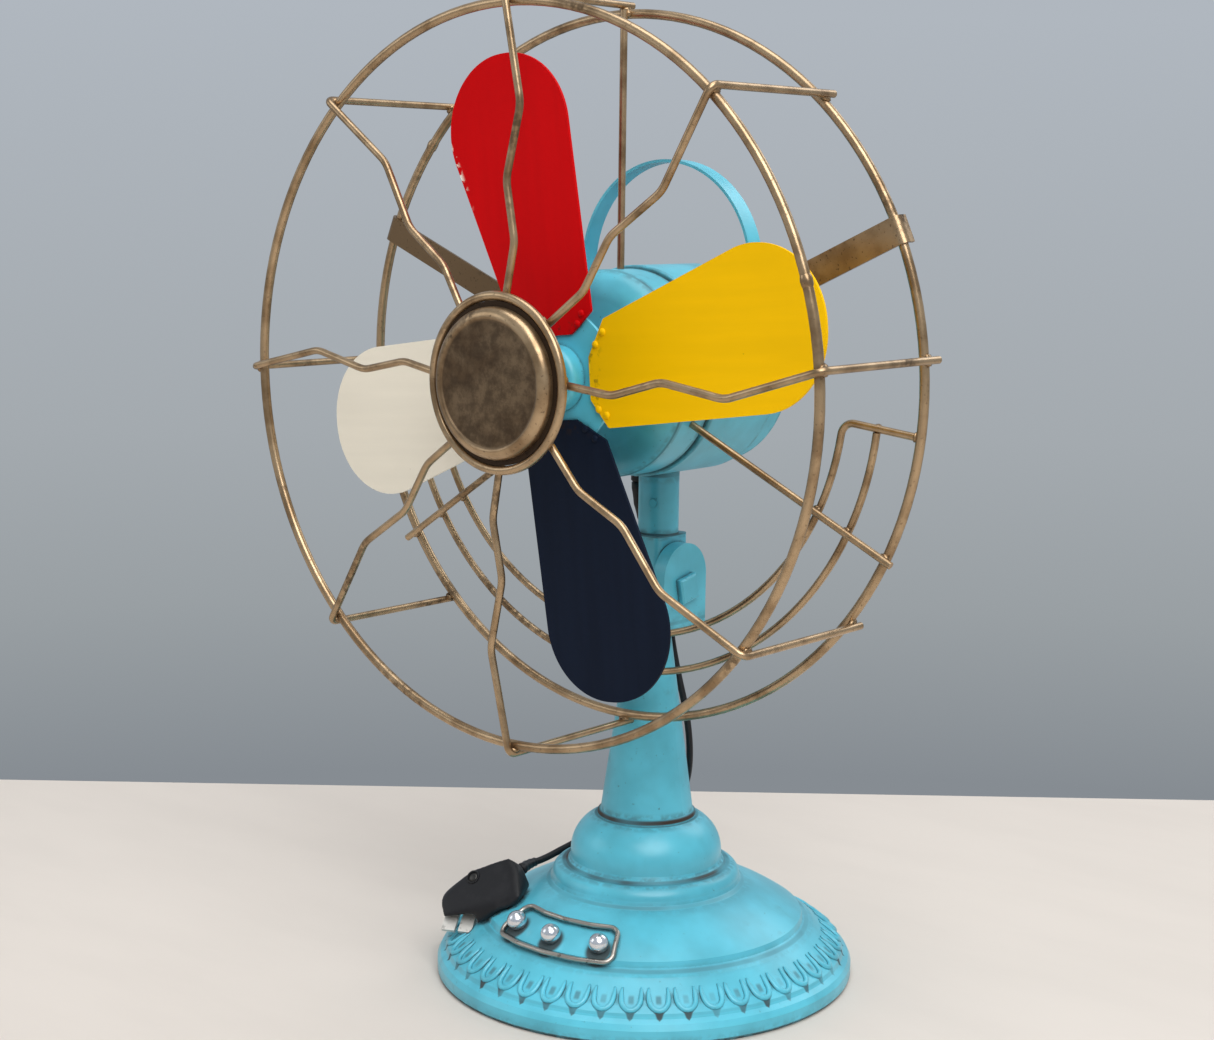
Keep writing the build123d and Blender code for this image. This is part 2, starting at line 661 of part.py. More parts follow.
with BuildPart() as carry_handle:
    with BuildSketch(facing(HANDLE_Y)) as bow:
        handle_inner = DRUM_R + SEAT_GAP
        for radius, mode in ((handle_inner + HANDLE_T, Mode.ADD), (handle_inner, Mode.SUBTRACT)):
            with Locations((0, HANDLE_RISE)):
                Circle(radius, mode=mode)
            with Locations((0, (HANDLE_RISE - HANDLE_LEG) / 2)):
                Rectangle(2 * radius, HANDLE_RISE + HANDLE_LEG, mode=mode)
    extrude(amount=HANDLE_W / 2, both=True)
    ends = carry_handle.edges().filter_by(Axis.X).group_by(Axis.Z)[0]
    fillet(ends, HANDLE_END_R)
    with BuildSketch(handle_plane):
        Circle(RIVET_R + RUN)
    extrude(amount=2 * DRUM_R, both=True, mode=Mode.SUBTRACT)
carry_handle.part.label = "carry_handle"
export_step(carry_handle.part, "parts/carry_handle.step")

for side, name in ((-1, "handle_rivet_left"), (1, "handle_rivet_right")):
    rivet_plane = Plane(origin=(0, HANDLE_Y, AXIS_Z), x_dir=(0, 1, 0), z_dir=(side, 0, 0))
    with BuildPart() as rivet:
        tail_top = DRUM_R - HOUSING_T - RIVET_SET
        with BuildSketch(rivet_plane.offset(tail_top - RIVET_TAIL[1])):
            Circle(RIVET_TAIL[0])
        extrude(amount=RIVET_TAIL[1])
        with BuildSketch(rivet_plane.offset(tail_top)):
            Circle(RIVET_R)
        extrude(amount=DRUM_R + SEAT_GAP + HANDLE_T - tail_top)
        with BuildSketch(rivet_plane.offset(DRUM_R + SEAT_GAP + HANDLE_T)):
            Circle(RIVET_HEAD[0])
        extrude(amount=RIVET_HEAD[1])
        head_edge = rivet.edges().group_by(Axis.X)[-1 if side > 0 else 0]
        chamfer(head_edge, RIVET_HEAD[2])
    rivet.part.label = name
    export_step(rivet.part, f"parts/{name}.step")

with BuildPart() as cord_gland:
    with BuildSketch(Plane(origin=cord_end)):
        Circle(GLAND_R)
    extrude(amount=AXIS_Z - GLAND_FOOT_Z)
    add(drum_space(), mode=Mode.SUBTRACT)
    chamfer(cord_gland.edges().group_by(Axis.Z)[0], GLAND_CHAMFER)
cord_gland.part.label = "cord_gland"
export_step(cord_gland.part, "parts/cord_gland.step")

# ==== axle and rotor ====

boss_y, barrel_y = HUB_Y
collar_y = barrel_y + AXLE_GAP
nut_y = FACE_Y + HOUSING_T
cap_y = boss_y - AXLE_GAP

with BuildPart() as axle:
    axle_rear, axle_front = nut_y + AXLE_NUT_T + AXLE_TAIL, cap_y - CAP_NUT_T + CAP_NUT_END
    with BuildSketch(facing(axle_rear)):
        Circle(AXLE_R)
    extrude(amount=axle_rear - axle_front)
    with BuildSketch(facing(FACE_Y)):
        Circle(AXLE_COLLAR_R)
    extrude(amount=FACE_Y - collar_y)
axle.part.label = "axle"
export_step(axle.part, "parts/axle.step")

with BuildPart() as axle_nut:
    with BuildSketch(facing(nut_y + AXLE_NUT_T)):
        RegularPolygon(NUT[0] / 2, 6, major_radius=False)
        Circle(AXLE_R + RUN, mode=Mode.SUBTRACT)
    extrude(amount=AXLE_NUT_T)
axle_nut.part.label = "axle_nut"
export_step(axle_nut.part, "parts/axle_nut.step")

with BuildPart() as axle_cap_nut:
    with BuildSketch(facing(cap_y)):
        RegularPolygon(CAP_NUT_FLATS / 2, 6, major_radius=False)
    extrude(amount=CAP_NUT_T / 2)
    with BuildSketch(facing(cap_y)):
        Circle(CAP_NUT_DOME[0])
    extrude(amount=CAP_NUT_T + CAP_NUT_DOME[1])
    chamfer(axle_cap_nut.edges().group_by(Axis.Y)[0], CAP_NUT_DOME[2])
    with BuildSketch(facing(cap_y)):
        Circle(AXLE_R + RUN)
    extrude(amount=CAP_NUT_T - CAP_NUT_END / 2, mode=Mode.SUBTRACT)
axle_cap_nut.part.label = "axle_cap_nut"
export_step(axle_cap_nut.part, "parts/axle_cap_nut.step")

blade_back = BLADE_Y + BLADE_T / 2
with BuildPart() as rotor_hub:
    with BuildSketch(facing(barrel_y)):
        Circle(HUB_BARREL_R)
    extrude(amount=barrel_y - blade_back)
    with BuildSketch(facing(blade_back + HUB_FLANGE_T)):
        Circle(HUB_FLANGE_R)
    extrude(amount=HUB_FLANGE_T)
    with BuildSketch(facing(blade_back)):
        Circle(HUB_BOSS_R)
    extrude(amount=blade_back - boss_y)
    fillet(rotor_hub.edges().group_by(Axis.Y)[0], HUB_BOSS_ROUND)
    with BuildSketch(facing(barrel_y)):
        Circle(AXLE_R + RUN)
    extrude(amount=barrel_y - boss_y, mode=Mode.SUBTRACT)
rotor_hub.part.label = "rotor_hub"
export_step(rotor_hub.part, "parts/rotor_hub.step")


def leaning(s, half):
    """A point of a blade's outline, whose centreline leans counter-clockwise outward."""
    return (s, half + BLADE_LEAN * (s - BLADE_ROOT_S))


for name, angle in BLADE_ANGLES.items():
    with BuildPart() as blade:
        with BuildSketch(facing(blade_back, angle)) as outline:
            with BuildLine():
                Polyline(
                    leaning(BLADE_ROOT_R, -BLADE_NECK_HALF),
                    leaning(BLADE_SHOULDER_S, -BLADE_SHOULDER_HALF),
                    leaning(BLADE_TIP_R, -BLADE_MAX_HALF),
                    leaning(BLADE_TIP_R, BLADE_MAX_HALF),
                    leaning(BLADE_SHOULDER_S, BLADE_SHOULDER_HALF),
                    leaning(BLADE_ROOT_R, BLADE_NECK_HALF),
                    close=True,
                )
            make_face()
            fillet(outline.vertices().group_by(Axis.X)[-1], BLADE_TIP_CORNER)
            fillet(outline.vertices().group_by(Axis.X)[1], BLADE_SHOULDER_CORNER)
        extrude(amount=BLADE_T)
    blade.part.label = f"blade_{name}"
    export_step(blade.part, f"parts/blade_{name}.step")

# ==== wire cage ====

for name, y in (("front_ring", FRONT_RING_Y), ("rear_ring", REAR_RING_Y)):
    with BuildPart(facing(y)) as ring:
        Torus(CAGE_R, RING_WIRE / 2)
    ring.part.label = name
    export_step(ring.part, f"parts/{name}.step")

with BuildPart(facing(HUB_RING_Y)) as hub_ring:
    Torus(HUB_RING_R, HUB_RING_WIRE / 2)
hub_ring.part.label = "hub_ring"
export_step(hub_ring.part, "parts/hub_ring.step")

plate_front = HUB_RING_Y - HUB_PLATE_T / 2
with BuildPart() as hub_plate:
    with BuildSketch(facing(plate_front + HUB_PLATE_T)):
        Circle(HUB_RING_R - HUB_RING_WIRE / 2 - SEAT_GAP)
    extrude(amount=HUB_PLATE_T)
hub_plate.part.label = "hub_plate"
export_step(hub_plate.part, "parts/hub_plate.step")

cap_front = plate_front - CAP_DEPTH
with BuildLine() as cap_profile:
    shoulder = [(radius, cap_front + back) for radius, back in CAP_SHOULDER]
    groove = [(radius, cap_front + back) for radius, back in CAP_GROOVE]
    Line((CAP_R, plate_front), (CAP_R, plate_front - CAP_RIM))
    ThreePointArc((CAP_R, plate_front - CAP_RIM), *shoulder)
    Polyline(shoulder[1], *groove, (FLAT_R, cap_front), (0, cap_front))
with BuildPart() as hub_cap:
    add(turned(cap_profile.wire(), FAN_SECTION, FAN_AXIS, CAP_T))
hub_cap.part.label = "hub_cap"
export_step(hub_cap.part, "parts/hub_cap.step")

# Each spoke is one wire: from behind the hub ring, in waves over the front ring, round
# it, and straight back as a strut outside both rings.
wrap = (RING_WIRE + SPOKE_WIRE) / 2 + WELD_GAP
strut_r = CAGE_R + wrap
spoke_front = FRONT_RING_Y - wrap
spoke_start = HUB_RING_Y + (HUB_RING_WIRE + SPOKE_WIRE) / 2 + WELD_GAP


def spoke_depth(radius):
    """The spoke comes forward evenly from the hub to the ring."""
    share = (radius - SPOKE_INNER_R) / (CAGE_R - SPOKE_INNER_R)
    return spoke_start + (spoke_front - spoke_start) * share


for number, angle in enumerate(SPOKE_ANGLES, start=1):
    spoke_plane = facing(0, angle)
    waves = [(strut_r, 0, spoke_front)]
    waves += [(radius, -side, spoke_depth(radius)) for radius, side in SPOKE_WAVE]
    waves += [(SPOKE_INNER_R, -SPOKE_INNER_OFFSET, spoke_start)]
    local = [(strut_r, 0, REAR_RING_Y + STRUT_PAST_RING), *waves]
    points = [spoke_plane.from_local_coords((s, t, -y)) for s, t, y in local]
    with BuildPart() as spoke:
        with BuildLine() as wire:
            FilletPolyline(*points, radius=[wrap] + len(SPOKE_WAVE) * [WAVE_BEND_R])
        with BuildSketch(Plane(origin=wire.line @ 0, z_dir=wire.line % 0)):
            Circle(SPOKE_WIRE / 2)
        sweep(path=wire.wire())
    spoke.part.label = f"spoke_{number}"
    export_step(spoke.part, f"parts/spoke_{number}.step")

# ==== rear grille ====

rod_y = REAR_RING_Y - (RING_WIRE + SPOKE_WIRE) / 2 - WELD_GAP
for name, angle in ROD_ANGLES.items():
    start_r, tip_r = BAND_R + SEAT_GAP, TOP_ROD_R if name == "top" else ROD_R
    rod_plane = facing(rod_y, angle)
    across = Plane(
        origin=rod_plane.from_local_coords((start_r, 0, 0)), z_dir=rod_plane.x_dir
    )
    with BuildPart() as rod:
        with BuildSketch(across):
            Circle(SPOKE_WIRE / 2)
        extrude(amount=tip_r - start_r)
    rod.part.label = f"rear_rod_{name}"
    export_step(rod.part, f"parts/rear_rod_{name}.step")

hook_r = RING_WIRE / 2 + WELD_GAP
for name, angle in STRAP_ANGLES.items():
    flat = facing(REAR_RING_Y, angle)
    edge_on = Plane(origin=flat.origin, x_dir=flat.x_dir, z_dir=flat.y_dir)
    with BuildPart() as strap:
        with BuildSketch(edge_on):
            with Locations((BAND_R + SEAT_GAP, -hook_r)):
                Rectangle(
                    CAGE_R - BAND_R - SEAT_GAP, STRAP_T, align=(Align.MIN, Align.MAX)
                )
            with Locations((CAGE_R + hook_r, 0)):
                Rectangle(STRAP_T, STRAP_TAB, align=(Align.MIN, Align.MIN))
            with BuildLine():
                outer = CenterArc((CAGE_R, 0), hook_r + STRAP_T, -90, 90)
                inner = CenterArc((CAGE_R, 0), hook_r, -90, 90)
                Line(outer @ 0, inner @ 0)
                Line(outer @ 1, inner @ 1)
            make_face()
        extrude(amount=STRAP_W / 2, both=True)
    strap.part.label = f"strap_{name}"
    export_step(strap.part, f"parts/strap_{name}.step")


def polar(radius, angle):
    """A point across the fan axis, from +X toward +Z."""
    return (radius * cos(radians(angle)), radius * sin(radians(angle)))


arc_plane = facing(rod_y + SPOKE_WIRE + WELD_GAP)
link_end = CAGE_R - RING_WIRE / 2 - WELD_GAP

with BuildPart() as rear_arc_inner:
    corner_r = ARC_INNER_R + ARC_CORNER_R
    corner_turn = degrees(asin(ARC_CORNER_R / corner_r))
    with BuildLine(arc_plane) as inner_wire:
        for end, turn in ((ARC_END, -1), (-180 - ARC_END, 1)):
            on_link = polar(corner_r * cos(radians(corner_turn)), end)
            on_arc = polar(ARC_INNER_R, end + turn * corner_turn)
            centre = Vector(*polar(corner_r, end + turn * corner_turn))
            toward = (Vector(*polar(ARC_INNER_R, end)) - centre).normalized()
            middle = centre + toward * ARC_CORNER_R
            Line(polar(link_end, end), on_link)
            ThreePointArc(on_link, (middle.X, middle.Y), on_arc)
        sweep_angle = 180 + 2 * ARC_END - 2 * corner_turn
        CenterArc((0, 0), ARC_INNER_R, ARC_END - corner_turn, -sweep_angle)
    with BuildSketch(Plane(origin=inner_wire.wire() @ 0, z_dir=inner_wire.wire() % 0)):
        Circle(SPOKE_WIRE / 2)
    sweep(path=inner_wire.wire())
rear_arc_inner.part.label = "rear_arc_inner"
export_step(rear_arc_inner.part, "parts/rear_arc_inner.step")

with BuildPart() as rear_arc_outer:
    clear = degrees((SPOKE_WIRE / 2 + WELD_GAP) / ARC_OUTER_R)
    with BuildLine(arc_plane) as outer_wire:
        CenterArc(
            (0, 0), ARC_OUTER_R, ARC_END - clear, -(180 + 2 * ARC_END - 2 * clear)
        )
    with BuildSketch(Plane(origin=outer_wire.wire() @ 0, z_dir=outer_wire.wire() % 0)):
        Circle(SPOKE_WIRE / 2)
    sweep(path=outer_wire.wire())
rear_arc_outer.part.label = "rear_arc_outer"
export_step(rear_arc_outer.part, "parts/rear_arc_outer.step")
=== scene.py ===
"""The looks of a painted tin desk fan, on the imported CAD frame, in metres.

The CAD nodes get materials here. The cord and the plug's body replace theirs. The lace on
the base, the welds, the rivets and the plug's screw are built here in mesh code.
"""

from math import cos, pi, radians, sin, tau
from random import Random

import bpy
from mathutils import Matrix, Vector


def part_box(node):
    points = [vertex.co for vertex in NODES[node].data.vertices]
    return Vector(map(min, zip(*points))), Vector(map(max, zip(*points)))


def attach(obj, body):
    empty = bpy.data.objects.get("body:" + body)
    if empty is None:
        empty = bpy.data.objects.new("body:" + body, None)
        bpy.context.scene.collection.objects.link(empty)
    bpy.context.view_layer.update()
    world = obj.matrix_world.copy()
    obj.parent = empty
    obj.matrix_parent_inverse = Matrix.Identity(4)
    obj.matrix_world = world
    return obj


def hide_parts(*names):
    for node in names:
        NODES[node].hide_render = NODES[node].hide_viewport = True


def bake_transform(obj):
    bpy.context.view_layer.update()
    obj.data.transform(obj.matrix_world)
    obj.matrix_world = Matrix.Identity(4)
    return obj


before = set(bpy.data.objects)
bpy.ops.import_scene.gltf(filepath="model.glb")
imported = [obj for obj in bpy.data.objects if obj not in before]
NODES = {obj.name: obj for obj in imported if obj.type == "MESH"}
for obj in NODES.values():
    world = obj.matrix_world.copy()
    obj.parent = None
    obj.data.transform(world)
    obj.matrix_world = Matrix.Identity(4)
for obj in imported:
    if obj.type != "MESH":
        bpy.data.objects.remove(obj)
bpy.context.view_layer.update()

# ---- camera, as fitted to the photograph ----
PHOTO_SIZE = (1214, 1040)
FOCAL_PX = 2103.7
CENTRE_PX = (660, 520)
SENSOR_MM = 36.0
CAMERA_AT = (0.4596, -0.5727, 0.2797)
CAMERA_TURN = (38.51, 8.92, 0.98)  # azimuth, elevation, roll

# ---- fan ----
AXIS_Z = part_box("front_ring")[0].z / 2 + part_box("front_ring")[1].z / 2
RING_WIRE_R = 0.0016
RING_R = (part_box("front_ring")[1].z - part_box("front_ring")[0].z) / 2 - RING_WIRE_R
FRONT_RING_Y = -0.073
REAR_RING_Y = -0.016
SPOKE_ANGLES = (90.8, 132.7, 181.3, 227.3, 271.1, 322.1, 5.5, 49.0)
ROD_ANGLES = (90.0, 214.0, -25.5)
ARC_RADII = (0.104, 0.091)
ARC_LINKS = (-6.0, 186.0)
RING_JOINTS = ((17.96, FRONT_RING_Y), (140.33, REAR_RING_Y))  # where each ring was closed
BLADE_ANGLES = {"red": 96.6, "yellow": 5.0, "navy": -83.6, "cream": 185.0}
BLADE_FACE_Y = -0.0509
LEADING_EDGE = (0.3667, 0.01117)  # a blade's leading edge: its slope, and its start at the axis
CHIPS_AT = (0.078, 0.022)  # middle and half length of the chipped stretch
DIRTY_ROOT = (0.021, 0.016)  # where the dirt starts, and where it is full
CAP_FACE = (0.0222, 0.0196)  # where the cap's dark face starts, and where it is full
RIVETS_AT = ((0.0172, 0.0105), (0.0172, -0.0105), (0.0205, 0.0145), (0.0205, -0.0125))

# ---- base ----
BAND_TOP = (0.0610, 0.0184)  # radius and height of the sloping band that carries the lace
BAND_FOOT = (0.0716, 0.0100)
LACE_COUNT = 46
LACE_HALF = 0.36  # of the pitch
LACE_WIRE_R = 0.00095
LACE_BEND_AT = 0.58  # the share of the band at which the legs bend into the tip
LACE_TIP = 0.34  # how far down the tip reaches from there
LACE_LEG = ((0.98, 0.28), (1.03, 0.38), (1.03, 0.48), (1.0, 0.58))  # across and down
LACE_LIFT = 0.0001
TIP_SHADOW_HALF, TIP_SHADOW_DROP = 0.66, 0.55  # the painted shadow, a dark V, below a tip
STUD_SHADOW = (0.0053, 0.0036)  # where the painted shadow round a stud starts, and where it is full

# ---- cord, whose points are those of the part's source ----
CORD_D = 0.0025
CORD_ROUTE = (
    (-0.0120, 0.0080, 0.1760),
    (-0.0120, 0.0080, 0.1650),
    (-0.0110, 0.0165, 0.1520),
    (-0.0080, 0.0210, 0.1370),
    (-0.0050, 0.0180, 0.1220),
    (0.0000, 0.0165, 0.1070),
    (0.0035, 0.0180, 0.0920),
    (0.0045, 0.0195, 0.0770),
    (0.0010, 0.0225, 0.0640),
    (-0.0080, 0.0275, 0.0535),
    (-0.0190, 0.0266, 0.0460),
    (-0.0283, 0.0184, 0.0425),
    (-0.0330, 0.0070, 0.0404),
    (-0.0344, -0.0050, 0.0382),
    (-0.0357, -0.0160, 0.0359),
    (-0.0357, -0.0240, 0.0363),
    (-0.03315, -0.03053, 0.0363),
)
RELIEF_AT_GLAND = (0.0030, 0.0015, 0.020)  # first radius, last radius, length
RELIEF_AT_PLUG = (0.0021, 0.0015, 0.010)
RELIEF_RIB = 0.00016

# ---- plug ----
PLUG_SCREW_AT = (-0.04575, -0.04238, 0.03362)
PLUG_FACE = (0.038, -0.773, 0.633)  # square to its sloping face
PLUG_SCREW_R = 0.0017
PLUG_SCREW_RISE = 0.0004
SCREW_RIM_WIRE_R = 0.00042
SCREW_RIM_STEPS = 24
PLUG_GRID = 0.0008
PLUG_SMOOTHING = 90

# ---- welds and rivets: half sizes radially, round the ring and along Y ----
RING_BEAD = (0.0012, 0.0021, 0.0021)
HUB_BEAD = (0.0019, 0.0017, 0.0010)
HUB_WELD = (0.0272, -0.0787)  # radius, and place along Y
ROD_BEAD = (0.0018, 0.0019, 0.0011)
TOP_ROD_BEAD = (0.0016, 0.0019, 0.0011)
OUTER_LINK_BEAD = (0.0009, 0.0018, 0.0018)
INNER_LINK_BEAD = (0.0017, 0.0015, 0.0015)
JOINT_LENGTH, JOINT_SWELL = 0.0034, 1.22
RIVET = (0.0013, 0.0013, 0.0007)

# ---- paint and metal ----
CELLS = {  # of each kind of noise, to a metre
    "paint tone": 42, "paint breaks": 330, "paint patches": 34, "paint stains": 120,
    "paint specks": 700, "paint brush": 520, "paint peel": 1500, "wash_and_shade": 60,
    "blade fade": 30, "blade chips": 300, "blade dirt": 420, "blade specks": 650,
    "bronze wear": 90, "bronze age": 24, "bronze grain": 420, "bronze pits": 900,
    "bronze mottle": 210, "bronze dents": 800,
    "metal grime": 380, "metal scratches": 500, "metal polish": 160,
    "dust": 150, "plug grain": 1400, "cord grain": 2200,
    "table tone": 9, "table grain": 500,
}
STREAKS = (14.0, 190.0)  # cells to a metre, along a blade and across it
TONE_CONTRAST = 0.14
CREVICE_SHADE_REACH = 0.0024  # how far off a wall may stand for the crevice wash and painted shade to gather beside it
CREVICE_SHADE_RAYS = 6
NEAR_CORE = 0.35  # the share of a seam's half width that is fully dark
HALO_WIDTH, HALO_SHARE = 3.2, 0.4  # of a seam's width and darkness
COAT_ROUGHNESS = 0.25
BUMP_DEPTH, SCRATCH_DEPTH, GRAIN_DEPTH = 0.0001, 0.00002, 0.0002

# ---- seams that hold wash: coordinate, place, half width, share ----
BASE_SEAMS = (
    ("z", 0.0096, 0.0008, 0.12),
    ("z", 0.0196, 0.0007, 0.35),
    ("z", 0.0336, 0.0007, 0.35),
    ("z", 0.0402, 0.0005, 0.8),
    ("z", 0.0004, 0.0012, 0.5),
)
BOLT_SEAMS = (("x", 0.0128, 0.0005, 0.9),)
LACE_SEAMS = (("z", 0.0098, 0.0010, 0.3),)
SEAMS = {
    "base_dome": (("z", 0.0404, 0.0007, 1.0), ("z", 0.0578, 0.0006, 0.7)),
    "pillar": (("z", 0.0586, 0.0011, 1.0), ("z", 0.1238, 0.0008, 0.5)),
    "yoke": (("z", 0.1244, 0.0008, 0.6), ("z", 0.1292, 0.0010, 0.5)),
    "neck_tube": (("z", 0.1596, 0.0008, 0.9), ("z", 0.1808, 0.0012, 0.7)),
    "tilt_tongue": (("z", 0.1594, 0.0006, 0.8),),
    "front_cover": (("y", -0.0122, 0.0008, 0.9), ("y", -0.0262, 0.0007, 0.85)),
    "motor_drum": (("y", -0.0116, 0.0008, 0.9), ("y", 0.0240, 0.0008, 0.9)),
    "rear_cover": (("y", 0.0242, 0.0008, 0.9), ("y", 0.0328, 0.0006, 0.7)),
}


def linear(red, green, blue):
    """A display colour of 0 to 255 as the linear colour that a shader takes."""
    shares = [value / 255 for value in (red, green, blue)]
    parts = [s / 12.92 if s <= 0.04045 else ((s + 0.055) / 1.055) ** 2.4 for s in shares]
    return (*parts, 1.0)


TURQUOISE = linear(84, 184, 206)
# the brown of the wash, also used for painted shade
WASH_AND_SHADE = linear(52, 36, 24)
RED = linear(205, 0, 6)
YELLOW = linear(252, 198, 0)
NAVY = linear(18, 28, 46)
CREAM = linear(240, 234, 218)
BRONZE = linear(178, 152, 119)
BRONZE_DARK = linear(134, 109, 80)
PATINA = linear(42, 30, 22)
CHROME = linear(226, 228, 232)
PIN_METAL = linear(214, 211, 204)
SWITCH_STEEL = linear(172, 166, 157)
GUNMETAL = linear(70, 68, 66)
STEEL = linear(170, 168, 164)
BLACK = linear(22, 22, 25)
BLACK_DUST = linear(46, 46, 49)
FLOOR = linear(215, 207, 199)
WALL_RISE = (-0.27, 0.08)  # how steeply the ray climbs at the wall's first and last shade
WALL = (
    (0.00, linear(134, 140, 146)),
    (0.22, linear(153, 159, 163)),
    (0.45, linear(164, 170, 175)),
    (1.00, linear(176, 183, 191)),
)


# ==== camera ====

def make_camera():
    """The photograph's viewpoint and framing."""
    turn, rise, roll = (radians(angle) for angle in CAMERA_TURN)
    ahead = Vector((-sin(turn) * cos(rise), cos(turn) * cos(rise), -sin(rise)))
    level = Vector((cos(turn), sin(turn), 0))
    upright = level.cross(ahead)
    right = level * cos(roll) + upright * sin(roll)
    up = upright * cos(roll) - level * sin(roll)
    data = bpy.data.cameras.new("camera")
    data.sensor_fit = "HORIZONTAL"
    data.sensor_width = SENSOR_MM
    data.lens = FOCAL_PX / PHOTO_SIZE[0] * SENSOR_MM
    data.shift_x = (PHOTO_SIZE[0] / 2 - CENTRE_PX[0]) / PHOTO_SIZE[0]
    data.shift_y = (CENTRE_PX[1] - PHOTO_SIZE[1] / 2) / PHOTO_SIZE[0]
    data.clip_start, data.clip_end = 0.05, 20.0
    camera = bpy.data.objects.new("camera", data)
    camera.matrix_world = Matrix((right, up, -ahead)).transposed().to_4x4()
    camera.location = CAMERA_AT
    bpy.context.scene.collection.objects.link(camera)
    bpy.context.scene.camera = camera


make_camera()


# ==== mesh helpers ====

class Shape:
    """Vertices and faces that grow into one mesh piece."""

    def __init__(self):
        self.points, self.faces = [], []

    def add(self, points, faces):
        """More points, and faces that count from the first of them."""
        first = len(self.points)
        self.points += [tuple(point) for point in points]
        self.faces += [tuple(first + index for index in face) for face in faces]

    def piece(self, name, body, slot, material):
        """The finished object, which rides on a body."""
        mesh = bpy.data.meshes.new(name)
        mesh.from_pydata(self.points, [], self.faces)
        mesh.validate()
        mesh.polygons.foreach_set("use_smooth", [True] * len(mesh.polygons))
        mesh.materials.append(material)
        made = bpy.data.objects.new(name, mesh)
        bpy.context.scene.collection.objects.link(made)
        if body:
            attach(made, body)
        return made


def tube(shape, path, radii, sides=12, across=None):
    """A closed tube along a path of points, with a radius at each point."""
    rings, side = [], across or Vector((0.31, 0.17, 0.93))
    for index, here in enumerate(path):
        before, after = path[max(index - 1, 0)], path[min(index + 1, len(path) - 1)]
        along = (after - before).normalized()
        side = (side - along * side.dot(along)).normalized()
        other = along.cross(side)
        for step in range(sides):
            turn = tau * step / sides
            rings.append(here + (side * cos(turn) + other * sin(turn)) * radii[index])
    faces = []
    for index in range(len(path) - 1):
        for step in range(sides):
            a, b = index * sides + step, index * sides + (step + 1) % sides
            faces.append((a, b, b + sides, a + sides))
    last = (len(path) - 1) * sides
    faces.append(tuple(reversed(range(sides))))
    faces.append(tuple(range(last, last + sides)))
    shape.add(rings, faces)


def lump(shape, centre, axes, uneven, dice, rings=7, around=12):
    """A closed rounded blob on three half axes, such as a weld bead or a rivet head."""
    points = [centre + axes[2]]
    for ring in range(1, rings):
        tilt = pi * ring / rings
        for step in range(around):
            turn = tau * step / around
            out = axes[0] * cos(turn) * sin(tilt) + axes[1] * sin(turn) * sin(tilt)
            points.append(centre + (out + axes[2] * cos(tilt)) * (1 + dice.uniform(-uneven, uneven)))
    points.append(centre - axes[2])
    faces = [(0, 1 + step, 1 + (step + 1) % around) for step in range(around)]
    for ring in range(rings - 2):
        for step in range(around):
            a, b = 1 + ring * around + step, 1 + ring * around + (step + 1) % around
            faces.append((a, a + around, b + around, b))
    low, last = 1 + (rings - 2) * around, len(points) - 1
    faces += [(low + step, last, low + (step + 1) % around) for step in range(around)]
    shape.add(points, faces)


def on_fan(radius, angle, y):
    """A point round the fan axis, from +X toward +Z, in degrees."""
    return Vector((radius * cos(radians(angle)), y, AXIS_Z + radius * sin(radians(angle))))


def fan_axes(angle, outward, round_it, along):
    """Half axes at an angle round the fan axis: radial, round the ring, along Y."""
    out = Vector((cos(radians(angle)), 0, sin(radians(angle))))
    return out * outward, Vector((-out.z, 0, out.x)) * round_it, Vector((0, along, 0))


# ==== materials ====

